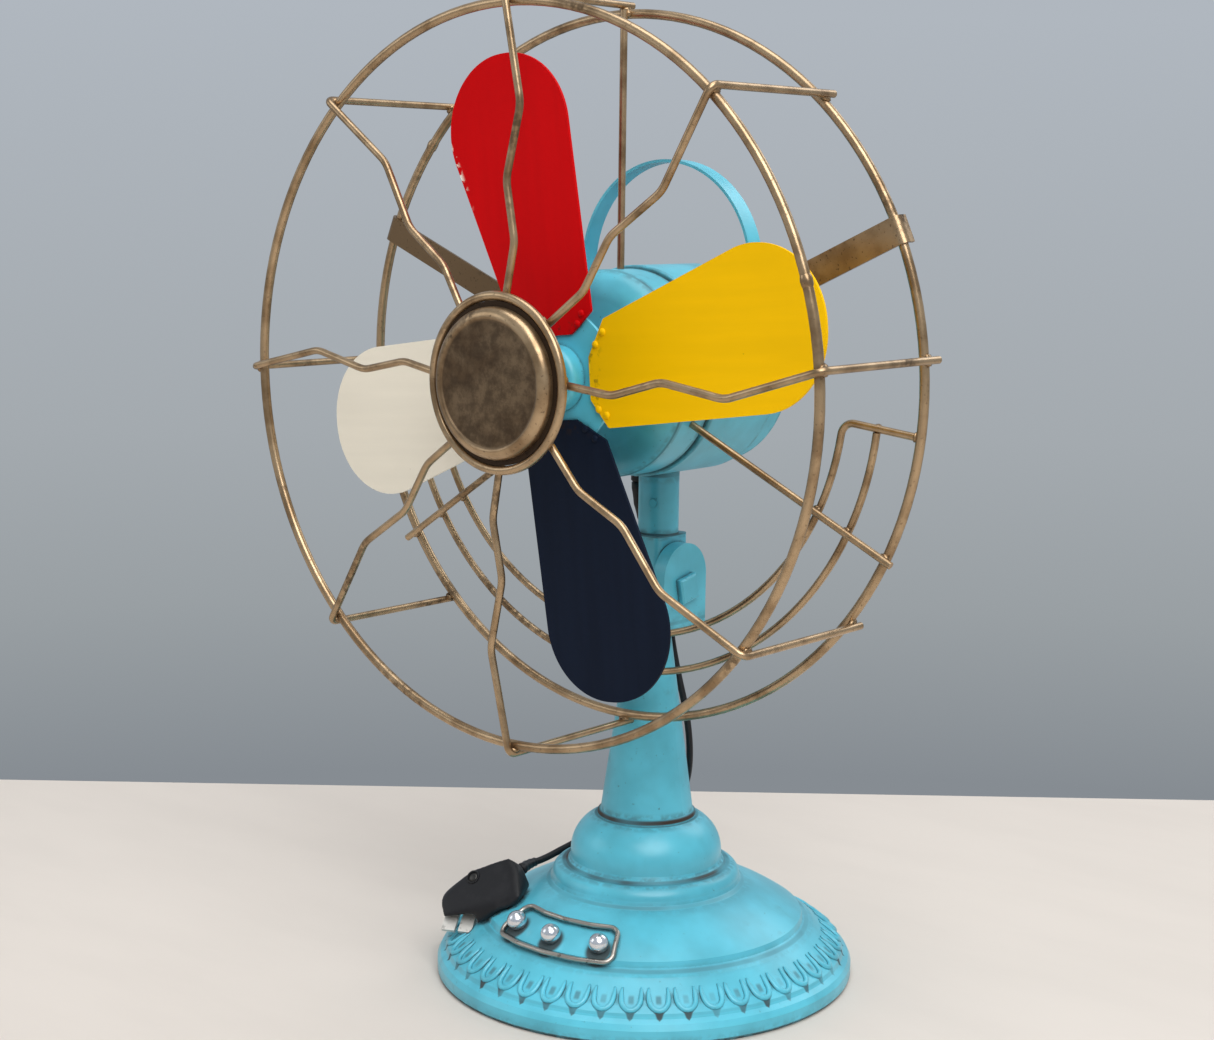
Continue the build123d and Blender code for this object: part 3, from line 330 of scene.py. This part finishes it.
class Shades:
    """One material's nodes, with short calls for those that it uses."""

    def __init__(self, name, metallic=0.0):
        self.material = bpy.data.materials.new(name)
        self.material.use_nodes = True
        self.tree = self.material.node_tree
        self.shader = self.tree.nodes["Principled BSDF"]
        self.shader.inputs["Metallic"].default_value = metallic
        self.place = self.add("ShaderNodeTexCoord", {}).outputs["Object"]
        parts = self.add("ShaderNodeSeparateXYZ", {"Vector": self.place}).outputs
        self.x, self.y, self.z = parts["X"], parts["Y"], parts["Z"]

    def feed(self, socket, value):
        """Links a socket to another, or sets its own value."""
        if isinstance(value, bpy.types.NodeSocket):
            self.tree.links.new(value, socket)
        else:
            socket.default_value = value

    def add(self, kind, inputs, **settings):
        """A new node, with its settings made and its inputs fed."""
        node = self.tree.nodes.new(kind)
        for key, value in settings.items():
            setattr(node, key, value)
        for key, value in inputs.items():
            self.feed(node.inputs[key], value)
        return node

    def maths(self, operation, *values):
        """One step of arithmetic."""
        inputs = dict(enumerate(values))
        return self.add("ShaderNodeMath", inputs, operation=operation).outputs[0]

    def times(self, first, *others):
        """The product of all the values."""
        for other in others:
            first = self.maths("MULTIPLY", first, other)
        return first

    def most(self, first, *others):
        """The largest of the values."""
        for other in others:
            first = self.maths("MAXIMUM", first, other)
        return first

    def length(self, across, up):
        """The long side of a right-angled triangle."""
        squares = self.times(across, across), self.times(up, up)
        return self.maths("SQRT", self.maths("ADD", *squares))

    def noise(self, kind, detail=3.0, stretch=None, roughness=0.55):
        """Noise of one of the kinds in CELLS."""
        place = self.place
        if stretch:
            scaled = {"Vector": place, "Scale": stretch}
            place = self.add("ShaderNodeMapping", scaled).outputs["Vector"]
        inputs = {"Vector": place, "Scale": CELLS[kind], "Detail": detail, "Roughness": roughness}
        return self.add("ShaderNodeTexNoise", inputs).outputs[0]

    def ramp(self, value, low, high, bottom=0.0, top=1.0):
        """bottom up to low, top from high on, and smooth between; low may be the larger."""
        inputs = {"Value": value, "From Min": low, "From Max": high}
        inputs |= {"To Min": bottom, "To Max": top}
        kind = "ShaderNodeMapRange"
        return self.add(kind, inputs, interpolation_type="SMOOTHSTEP").outputs["Result"]

    def share_of_way(self, value, low, high):
        """0 at low and 1 at high, and on past both in a straight line."""
        inputs = {"Value": value, "From Min": low, "From Max": high}
        return self.add("ShaderNodeMapRange", inputs, clamp=False).outputs["Result"]

    def near(self, value, centre, half):
        """1 where value is close to centre, and 0 from half away."""
        away = self.maths("ABSOLUTE", self.maths("SUBTRACT", value, centre))
        return self.ramp(away, half, half * NEAR_CORE)

    def mix(self, share, first, second):
        """The first colour at share 0, and the second at share 1."""
        node = self.add("ShaderNodeMix", {}, data_type="RGBA")
        for index, value in ((0, share), (6, first), (7, second)):
            self.feed(node.inputs[index], value)
        return node.outputs[2]

    def finish(self, colour, roughness, height, depth, strength):
        """The material, with its colour, its gloss and the height of its bumps in place."""
        self.feed(self.shader.inputs["Base Color"], colour)
        self.feed(self.shader.inputs["Roughness"], roughness)
        inputs = {"Height": height, "Distance": depth, "Strength": strength}
        normal = self.add("ShaderNodeBump", inputs).outputs["Normal"]
        self.feed(self.shader.inputs["Normal"], normal)
        return self.material


def toned(colour, factor, lift=0.0):
    """A linear colour made darker or paler."""
    return (*[min(1, value * factor + lift) for value in colour[:3]], 1.0)


def enamel(name, seams=(), dabs=0.5):
    """Turquoise enamel with a brown wash along its seams, and painted shade in its crevices in the
    same brown.
    """
    shades = Shades(name)
    uneven = shades.ramp(shades.noise("paint tone"), 0.3, 0.7)
    pale = toned(TURQUOISE, 1 + TONE_CONTRAST, 0.006)
    tone = shades.mix(uneven, toned(TURQUOISE, 1 - TONE_CONTRAST), pale)
    broken = shades.ramp(shades.noise("paint breaks", 5), 0.36, 0.58)
    patchy = shades.ramp(shades.noise("paint patches", 2), 0.36, 0.56, 0.45, 1.0)
    stains = shades.ramp(shades.noise("paint stains", 4), 0.62, 0.8, 0.0, dabs * 0.5)
    specks = shades.ramp(shades.noise("paint specks", 2), 0.7, 0.78, 0.0, dabs)
    # painted shade: ambient occlusion darkens the paint towards the wash colour in crevices and
    # beside walls, partly real wash and partly the shade that falls there
    reach = {"Distance": CREVICE_SHADE_REACH, "Color": (1.0, 1.0, 1.0, 1.0)}
    opened = shades.add("ShaderNodeAmbientOcclusion", reach, samples=CREVICE_SHADE_RAYS).outputs["AO"]
    uneven_crevices = shades.ramp(broken, 0.0, 1.0, 0.55, 0.9)
    crevices = shades.times(shades.ramp(opened, 0.74, 0.36), uneven_crevices)
    wash_and_shade = shades.most(crevices, shades.most(stains, specks))
    for key, centre, half, share in seams:
        line = shades.near(getattr(shades, key), centre, half)
        halo = shades.near(getattr(shades, key), centre, half * HALO_WIDTH)
        line = shades.times(line, patchy, share)
        halo = shades.times(halo, broken, share * HALO_SHARE)
        wash_and_shade = shades.most(wash_and_shade, shades.most(line, halo))
    return shades, tone, wash_and_shade, broken


def finish_enamel(shades, tone, wash_and_shade, shine=0.34, mirror=0.5, coat=0.12, grain=0.12):
    """The paint's colour, gloss and brush marks under its wash and painted shade."""
    colour = shades.mix(wash_and_shade, tone, WASH_AND_SHADE)
    roughness = shades.ramp(wash_and_shade, 0.0, 0.8, shine, 0.75)
    brush = shades.noise("paint brush", 2)
    marks = shades.maths("ADD", shades.noise("paint peel", 2), brush)
    shades.shader.inputs["Specular IOR Level"].default_value = mirror
    shades.shader.inputs["Coat Weight"].default_value = coat
    shades.shader.inputs["Coat Roughness"].default_value = COAT_ROUGHNESS
    return shades.finish(colour, roughness, marks, BUMP_DEPTH, grain)


def turquoise(name, seams=(), dabs=0.5, grain=0.12):
    """The finished enamel of a turquoise node."""
    shades, tone, wash_and_shade, _ = enamel(name, seams, dabs)
    return finish_enamel(shades, tone, wash_and_shade, grain=grain)


def base_paint():
    """The base's enamel: wash in its steps and inside the lace, painted shadow round the studs and
    below the tip of each lace loop.
    """
    shades, tone, wash_and_shade, broken = enamel("base_enamel", BASE_SEAMS, 0.35)
    around = shades.times(shades.maths("ARCTAN2", shades.y, shades.x), LACE_COUNT / tau)
    share = shades.maths("FRACT", shades.maths("ADD", around, 0.5 + LACE_COUNT))
    aside = shades.maths("ABSOLUTE", shades.maths("SUBTRACT", share, 0.5))
    fall = shades.share_of_way(shades.length(shades.x, shades.y), BAND_TOP[0], BAND_FOOT[0])
    past = shades.maths("SUBTRACT", fall, LACE_BEND_AT)
    uneven = shades.ramp(shades.noise("wash_and_shade"), 0.35, 0.6, 0.35, 0.9)
    # painted shadow: a dark V below the tip of each loop, outside its wire
    slopes = shades.maths("DIVIDE", aside, TIP_SHADOW_HALF), shades.maths("DIVIDE", past, TIP_SHADOW_DROP)
    tip_shadow = shades.ramp(shades.maths("ADD", *slopes), 1.05, 0.93)
    wide, tall = shades.maths("DIVIDE", aside, LACE_HALF), shades.maths("DIVIDE", past, LACE_TIP)
    outside, low = shades.ramp(shades.length(wide, tall), 0.9, 1.05), shades.ramp(fall, 0.66, 0.84)
    tip_shadow = shades.times(tip_shadow, shades.times(outside, low), uneven)
    # a spot inside each loop, and a fainter line between two
    spot = shades.times(shades.near(fall, 0.62, 0.17), shades.ramp(aside, 0.15, 0.05), uneven, 0.6)
    line = shades.times(shades.near(fall, 0.60, 0.24), shades.ramp(aside, 0.42, 0.48), broken, 0.4)
    dark = shades.most(spot, line)
    # painted shadow round the foot of each stud
    for number in (1, 2, 3):
        stud = sum(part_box(f"switch_stud_{number}"), Vector()) / 2
        across = shades.maths("SUBTRACT", shades.x, stud.x)
        away = shades.length(across, shades.maths("SUBTRACT", shades.y, stud.y))
        dark = shades.most(dark, shades.times(shades.ramp(away, *STUD_SHADOW), 0.9))
    wash_and_shade = shades.most(wash_and_shade, shades.most(tip_shadow, dark))
    return finish_enamel(shades, tone, wash_and_shade)


def blade_paint(name, colour, streak, chips=0.0):
    """A blade's enamel: faint streaks along it, and paint chipped off one long edge."""
    shades = Shades(f"{name}_enamel")
    angle = radians(BLADE_ANGLES[name])
    rise = shades.maths("SUBTRACT", shades.z, AXIS_Z)
    along = shades.maths("MULTIPLY_ADD", shades.x, cos(angle), shades.times(rise, sin(angle)))
    aside = shades.maths("MULTIPLY_ADD", shades.x, -sin(angle), shades.times(rise, cos(angle)))
    cells = shades.times(along, STREAKS[0]), shades.times(aside, STREAKS[1])
    place = shades.add("ShaderNodeCombineXYZ", {"X": cells[0], "Y": cells[1]}).outputs["Vector"]
    streaks = shades.add("ShaderNodeTexNoise", {"Vector": place, "Scale": 1.0, "Detail": 4.0})
    darker = toned(colour, 1 - streak)
    tone = shades.mix(shades.ramp(streaks.outputs[0], 0.32, 0.72), darker, colour)
    tone = shades.mix(shades.ramp(shades.noise("blade fade"), 0.45, 0.75, 0.0, 0.5), tone, darker)
    inset = shades.maths("SUBTRACT", shades.maths("MULTIPLY_ADD", along, *LEADING_EDGE), aside)
    edge = shades.ramp(inset, 0.0022, 0.0002)
    flakes = shades.ramp(shades.noise("blade chips"), 0.5, 0.56)
    chip = shades.times(edge, shades.near(along, *CHIPS_AT), flakes, chips)
    tone = shades.mix(chip, tone, CREAM)
    root = shades.ramp(along, *DIRTY_ROOT, 0.0, 0.5)
    dirt = shades.times(root, shades.ramp(shades.noise("blade dirt", 4), 0.52, 0.66))
    specks = shades.ramp(shades.noise("blade specks", 2), 0.76, 0.82, 0.0, 0.3)
    return finish_enamel(shades, tone, shades.most(dirt, specks), 0.5, 0.08, 0.0)


def bronze(name, patina=0.35, face=False, age=0.0, cover=0.0):
    """Bronzed wire: worn pale in places, and dark with patina in others."""
    shades = Shades(name, metallic=0.82)
    worn = shades.ramp(shades.noise("bronze wear", 4), 0.30, 0.62, 0.0, 1.0 - age)
    tone = shades.mix(worn, BRONZE_DARK, BRONZE)
    old = shades.ramp(shades.noise("bronze age"), 0.54, 0.66)
    grain = shades.ramp(shades.noise("bronze grain", 4), 0.40, 0.62)
    dark = shades.times(old, grain, min(1.0, patina * 1.7))
    dark = shades.most(dark, shades.ramp(shades.noise("bronze pits", 2), 0.62, 0.7, 0.0, patina))
    if face:
        rise = shades.maths("SUBTRACT", shades.z, AXIS_Z)
        flat = shades.ramp(shades.length(shades.x, rise), *CAP_FACE)
        mottle = shades.noise("bronze mottle", 5, roughness=0.7)
        blotches = shades.ramp(mottle, 0.34, 0.66, 0.62, 0.84)
        dark = shades.most(dark, shades.times(flat, blotches))
    if cover:
        dark = shades.most(dark, cover)
    colour = shades.mix(dark, tone, PATINA)
    roughness = shades.ramp(dark, 0.0, 0.9, 0.28, 0.60)
    return shades.finish(colour, roughness, shades.noise("bronze dents"), BUMP_DEPTH, 0.05)


def metal(name, colour, roughness, grime, metallic=1.0):
    """Plated metal with a little grime and fine scratches."""
    shades = Shades(name, metallic)
    dirt = shades.ramp(shades.noise("metal grime", 4), 0.56, 0.72, 0.0, grime)
    tone = shades.mix(dirt, colour, PATINA)
    scratches = shades.noise("metal scratches", 2, stretch=(1.0, 1.0, 9.0))
    rough = shades.ramp(shades.noise("metal polish"), 0.3, 0.7, roughness, roughness + 0.14)
    return shades.finish(tone, rough, scratches, SCRATCH_DEPTH, 0.12)


def plastic(name, roughness, grain):
    """Moulded black plastic or rubber, with dust in its grain."""
    shades = Shades(name)
    dust = shades.ramp(shades.noise("dust", 4), 0.5, 0.75, 0.0, 0.55)
    tone = shades.mix(dust, BLACK, BLACK_DUST)
    rough = shades.ramp(dust, 0.0, 0.5, roughness, roughness + 0.16)
    shades.shader.inputs["Specular IOR Level"].default_value = 0.3
    return shades.finish(tone, rough, shades.noise(grain), BUMP_DEPTH, 0.35)


def dress(material, *names):
    """Gives CAD nodes a material."""
    for name in names:
        mesh = NODES[name].data
        mesh.materials.clear()
        mesh.materials.append(material)


BRONZE_WIRE = bronze("bronze_wire")
WELD_METAL = bronze("weld_metal", 1.1, age=0.8)
CHROME_PLATE = metal("chrome_plate", CHROME, 0.17, 0.35)
SWITCH_WIRE = metal("switch_wire", SWITCH_STEEL, 0.26, 0.7)
PIN_PLATE = metal("pin_plate", PIN_METAL, 0.42, 0.5, 0.55)
SCREW_METAL = metal("screw_metal", GUNMETAL, 0.3, 0.5)
ZINC_STEEL = metal("zinc_steel", STEEL, 0.35, 0.6)
PLUG_BLACK = plastic("plug_black", 0.46, "plug grain")
CORD_BLACK = plastic("cord_black", 0.5, "cord grain")
BLADE_PAINTS = {
    "red": blade_paint("red", RED, 0.06, chips=1.0),
    "yellow": blade_paint("yellow", YELLOW, 0.05),
    "navy": blade_paint("navy", NAVY, 0.16),
    "cream": blade_paint("cream", CREAM, 0.04),
}

dress(turquoise("plain_enamel"), "base_plate")
dress(base_paint(), "base_shell")
for node, seams in SEAMS.items():
    dress(turquoise(f"{node}_enamel", seams), node)
dress(turquoise("handle_enamel", (), 0.4, 0.02), "carry_handle")
dress(turquoise("rotor_enamel", (), 0.8), "rotor_hub")
dress(turquoise("bolt_enamel", BOLT_SEAMS, 0.8), "tilt_bolt", "tilt_washer", "tilt_nut")
dress(turquoise("screw_enamel", (), 1.6), "neck_screw", "handle_rivet_left", "handle_rivet_right")
for name, paint in BLADE_PAINTS.items():
    dress(paint, f"blade_{name}")
dress(bronze("cap_bronze", 0.45, face=True), "hub_cap")
# painted shade: the plate behind the cap is made nearly black, standing in for the shadowed gap
# between cap and ring
dress(bronze("plate_painted_shade", 2.4, age=1.0, cover=0.9), "hub_plate")
dress(bronze("strap_bronze", 0.6, age=0.3), "strap_right")
# the left strap is made darker than the right
dress(bronze("darker_strap_bronze", 0.7, age=1.0, cover=0.2), "strap_left")
dress(
    BRONZE_WIRE,
    *[f"spoke_{number}" for number in range(1, 1 + len(SPOKE_ANGLES))],
    *["front_ring", "rear_ring", "hub_ring", "rear_arc_outer", "rear_arc_inner"],
    *["rear_rod_top", "rear_rod_left", "rear_rod_right"],
)
dress(SWITCH_WIRE, "switch_loop")
dress(CHROME_PLATE, "switch_stud_1", "switch_stud_2", "switch_stud_3")
dress(PIN_PLATE, "plug_pin_1", "plug_pin_2")
dress(ZINC_STEEL, "tie_rod", "tie_nut", "tie_washer", "axle", "axle_nut", "axle_cap_nut")
dress(PLUG_BLACK, "plug_body", "cord_gland")


def make_plug_case():
    """The plug's body with its corners rounded, in place of the CAD node."""
    case = bpy.data.objects.new("plug_case", NODES["plug_body"].data.copy())
    bpy.context.scene.collection.objects.link(case)
    weld = case.modifiers.new("joined", "WELD")
    weld.merge_threshold = 1e-6
    grid = case.modifiers.new("even", "REMESH")
    grid.mode, grid.voxel_size, grid.use_smooth_shade = "VOXEL", PLUG_GRID, True
    rounding = case.modifiers.new("rounded", "SMOOTH")
    rounding.factor, rounding.iterations = 0.5, PLUG_SMOOTHING
    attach(case, "stand")
    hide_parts("plug_body")
    return case


plug_case = make_plug_case()


# ==== cord ====

def spline_points():
    """Points along the smooth line whose control points are the route's."""
    curve = bpy.data.curves.new("cord_line", "CURVE")
    curve.dimensions, curve.resolution_u = "3D", 10
    spline = curve.splines.new("NURBS")
    spline.points.add(len(CORD_ROUTE) - 1)
    for point, at in zip(spline.points, CORD_ROUTE):
        point.co = (*at, 1.0)
    spline.order_u = 3
    spline.use_endpoint_u = True
    line = bpy.data.objects.new("cord_line", curve)
    mesh = bpy.data.meshes.new_from_object(line)
    points = [vertex.co.copy() for vertex in mesh.vertices]
    bpy.data.objects.remove(line)
    bpy.data.curves.remove(curve)
    bpy.data.meshes.remove(mesh)
    return points


def relief(name, body, path, sizes):
    """A tapered sleeve with low ribs, where the cord leaves a fitting."""
    first, last, length = sizes
    run, walked = [path[0]], [0.0]
    for here, after in zip(path, path[1:]):
        if walked[-1] >= length:
            break
        run.append(after)
        walked.append(walked[-1] + (after - here).length)
    radii = []
    for index, done in enumerate(walked):
        share = done / walked[-1]
        rib = RELIEF_RIB if index % 3 == 1 else 0.0
        radii.append(first + (last - first) * share + rib)
    shape = Shape()
    tube(shape, run, radii, 16)
    return shape.piece(name, body, "black_plastic", PLUG_BLACK)


cord_path = spline_points()
cord_shape = Shape()
tube(cord_shape, cord_path, [CORD_D / 2] * len(cord_path), 16)
cord_tube = cord_shape.piece("lead", None, "black_cord", CORD_BLACK)
plug_relief = relief("plug_relief", "stand", cord_path[::-1], RELIEF_AT_PLUG)
gland_relief = relief("gland_relief", "head", cord_path, RELIEF_AT_GLAND)

plug_dice = Random(5)
plug_screw_shape = Shape()
face_out = Vector(PLUG_FACE).normalized()
face_across = face_out.cross(Vector((0, 0, 1))).normalized()
face_up = face_out.cross(face_across)
screw_axes = (face_across * PLUG_SCREW_R, face_up * PLUG_SCREW_R, face_out * PLUG_SCREW_RISE)
screw_at = Vector(PLUG_SCREW_AT)
lump(plug_screw_shape, screw_at, screw_axes, 0.0, plug_dice, 8, 20)
plug_screw = plug_screw_shape.piece("plug_screw", "stand", "chrome", SCREW_METAL)
collar_shape = Shape()
for step in range(SCREW_RIM_STEPS):
    turns = tau * step / SCREW_RIM_STEPS, tau * (step + 1) / SCREW_RIM_STEPS
    ends = [
        screw_at + (face_across * cos(at) + face_up * sin(at)) * PLUG_SCREW_R * 1.35
        for at in turns
    ]
    tube(collar_shape, ends, [SCREW_RIM_WIRE_R] * 2, 8, face_out)
plug_collar = collar_shape.piece("plug_screw_rim", "stand", "black_plastic", PLUG_BLACK)

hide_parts("power_cord")
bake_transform(cord_tube)


# ==== lace on the base ====

def on_band(turn, share, lift):
    """A point of the sloping band: share runs from its top to its foot."""
    fall = Vector((BAND_FOOT[0] - BAND_TOP[0], BAND_FOOT[1] - BAND_TOP[1]))
    out = Vector((-fall.y, fall.x)).normalized()
    radius = BAND_TOP[0] + fall.x * share + out.x * lift
    height = BAND_TOP[1] + fall.y * share + out.y * lift
    return Vector((radius * cos(turn), radius * sin(turn), height))


def make_lace():
    """A row of raised loops, open at the top, round the base."""
    shape, pitch = Shape(), tau / LACE_COUNT
    turns = [pi * step / 10 for step in range(1, 10)]
    tip = [(cos(turn), LACE_BEND_AT + LACE_TIP * sin(turn)) for turn in turns]
    line = [*LACE_LEG, *tip, *[(-across, down) for across, down in reversed(LACE_LEG)]]
    start = LACE_LEG[0][1]
    for number in range(LACE_COUNT):
        middle = number * pitch
        path = [on_band(middle + a * LACE_HALF * pitch, d, LACE_LIFT) for a, d in line]
        swell = [LACE_WIRE_R * min(1.0, 0.35 + 2.6 * (down - start)) for _, down in line]
        out = on_band(middle, 0.5, 1.0) - on_band(middle, 0.5, 0.0)
        tube(shape, path, swell, 8, out)
    return shape.piece("base_lace", "stand", "turquoise_paint", lace_paint())


def lace_paint():
    """As the base, but a little glossier."""
    shades, tone, wash_and_shade, _ = enamel("lace_enamel", LACE_SEAMS, 0.3)
    return finish_enamel(shades, tone, wash_and_shade, 0.3)


make_lace()


# ==== welds, ring joints and rivets ====

def make_welds():
    """A small uneven bead at each place where two wires of the cage are welded."""
    shape, dice = Shape(), Random(11)

    def bead(radius, angle, y, sizes, uneven):
        """One bead, at a radius and angle round the fan axis."""
        lump(shape, on_fan(radius, angle, y), fan_axes(angle, *sizes), uneven, dice)

    behind = REAR_RING_Y - RING_WIRE_R
    for angle in SPOKE_ANGLES:
        for y in (FRONT_RING_Y, REAR_RING_Y):
            bead(RING_R + RING_WIRE_R, angle, y, RING_BEAD, 0.14)
        bead(HUB_WELD[0], angle, HUB_WELD[1], HUB_BEAD, 0.14)
    for angle in ROD_ANGLES[1:]:
        bead(RING_R, angle, behind, ROD_BEAD, 0.14)
        for radius in ARC_RADII:
            bead(radius, angle, behind, ROD_BEAD, 0.12)
    bead(RING_R, ROD_ANGLES[0], behind, TOP_ROD_BEAD, 0.14)
    for angle in ARC_LINKS:
        bead(RING_R - RING_WIRE_R, angle, REAR_RING_Y, OUTER_LINK_BEAD, 0.12)
        bead(ARC_RADII[0], angle, REAR_RING_Y, INNER_LINK_BEAD, 0.12)
    return shape.piece("weld_beads", "head", "bronzed_steel", WELD_METAL)


def make_joints():
    """The ground weld where the wire of each large ring was closed."""
    shape, dice = Shape(), Random(3)
    for angle, y in RING_JOINTS:
        thick = RING_WIRE_R * JOINT_SWELL
        sleeve = fan_axes(angle, thick, JOINT_LENGTH, thick)
        lump(shape, on_fan(RING_R, angle, y), sleeve, 0.05, dice, 9, 16)
    return shape.piece("ring_joints", "head", "bronzed_steel", BRONZE_WIRE)


def make_rivets():
    """The heads that hold each blade's root to the rotor's flange."""
    dice = Random(7)
    for name, angle in BLADE_ANGLES.items():
        shape = Shape()
        for along, aside in RIVETS_AT:
            turn = radians(angle)
            x = along * cos(turn) - aside * sin(turn)
            z = along * sin(turn) + aside * cos(turn)
            head = fan_axes(angle, *RIVET)
            lump(shape, Vector((x, BLADE_FACE_Y, AXIS_Z + z)), head, 0.05, dice)
        shape.piece(f"rivets_{name}", "rotor", f"{name}_paint", BLADE_PAINTS[name])


make_welds()
make_joints()
make_rivets()


# ==== floor, backdrop and lights ====

TABLE_WIDE = 5.0
TABLE_BACK = 0.225  # behind the fan, square to the photograph's view
TABLE_FRONT = 3.5
LIGHTS = (  # name, place, size, watts
    ("window", (0.95, -0.72, 1.45), 1.4, 24.0),
    ("overhead", (0.00, -0.10, 1.70), 1.2, 10.0),
    ("front_left", (-1.25, -1.10, 0.85), 0.9, 2.5),
    ("behind", (0.30, 1.35, 1.25), 1.0, 5.0),
)


def make_floor():
    """A plain pale table top with a faint grain."""
    turn, half = radians(CAMERA_TURN[0]), TABLE_WIDE / 2
    ahead, aside = Vector((-sin(turn), cos(turn), 0)), Vector((cos(turn), sin(turn), 0))
    corners = [(far, wide) for far in (-TABLE_FRONT, TABLE_BACK) for wide in (-half, half)]
    points = [ahead * far + aside * wide for far, wide in corners]
    mesh = bpy.data.meshes.new("floor")
    mesh.from_pydata(points, [], [(0, 1, 3, 2)])
    shades = Shades("floor_paint")
    clouds = shades.noise("table tone", 4, stretch=(1.0, 3.0, 1.0))
    tone = shades.mix(shades.ramp(clouds, 0.35, 0.7), FLOOR, toned(FLOOR, 0.97))
    grain = shades.noise("table grain", 2)
    mesh.materials.append(shades.finish(tone, 0.6, grain, GRAIN_DEPTH, 0.1))
    floor = bpy.data.objects.new("floor", mesh)
    bpy.context.scene.collection.objects.link(floor)


def make_world():
    """Even light, with a pale wall in sight of the camera and of shiny surfaces."""
    world = bpy.data.worlds.new("studio")
    world.use_nodes = True
    tree = world.node_tree
    glow, wall = tree.nodes["Background"], tree.nodes.new("ShaderNodeBackground")
    glow.inputs["Color"].default_value = (0.96, 0.98, 1.0, 1.0)
    glow.inputs["Strength"].default_value = 0.36
    place = tree.nodes.new("ShaderNodeTexCoord")
    parts = tree.nodes.new("ShaderNodeSeparateXYZ")
    rise, shade = tree.nodes.new("ShaderNodeMapRange"), tree.nodes.new("ShaderNodeValToRGB")
    rise.inputs["From Min"].default_value, rise.inputs["From Max"].default_value = WALL_RISE
    stops = shade.color_ramp.elements
    while len(stops) < len(WALL):
        stops.new(1.0)
    for stop, (at, colour) in zip(stops, WALL):
        stop.position, stop.color = at, colour
    tree.links.new(place.outputs["Generated"], parts.inputs["Vector"])
    tree.links.new(parts.outputs["Z"], rise.inputs["Value"])
    tree.links.new(rise.outputs["Result"], shade.inputs["Fac"])
    tree.links.new(shade.outputs["Color"], wall.inputs["Color"])
    rays, blend = tree.nodes.new("ShaderNodeLightPath"), tree.nodes.new("ShaderNodeMixShader")
    seen = rays.outputs["Is Camera Ray"]
    for kind in ("Is Glossy Ray", "Is Transmission Ray"):
        either = tree.nodes.new("ShaderNodeMath")
        either.operation = "MAXIMUM"
        tree.links.new(seen, either.inputs[0])
        tree.links.new(rays.outputs[kind], either.inputs[1])
        seen = either.outputs[0]
    tree.links.new(seen, blend.inputs[0])
    tree.links.new(glow.outputs[0], blend.inputs[1])
    tree.links.new(wall.outputs[0], blend.inputs[2])
    tree.links.new(blend.outputs[0], tree.nodes["World Output"].inputs["Surface"])
    bpy.context.scene.world = world


def make_lights():
    """Large soft lamps, all turned to the middle of the fan."""
    middle = Vector((0, 0, AXIS_Z * 0.75))
    for name, place, size, watts in LIGHTS:
        lamp = bpy.data.lights.new(name, "AREA")
        lamp.shape, lamp.size, lamp.energy = "DISK", size, watts
        holder = bpy.data.objects.new(name, lamp)
        holder.location = place
        holder.rotation_euler = (middle - Vector(place)).to_track_quat("-Z", "Y").to_euler()
        bpy.context.scene.collection.objects.link(holder)


make_floor()
make_world()
make_lights()
bpy.context.scene.view_settings.view_transform = "Standard"
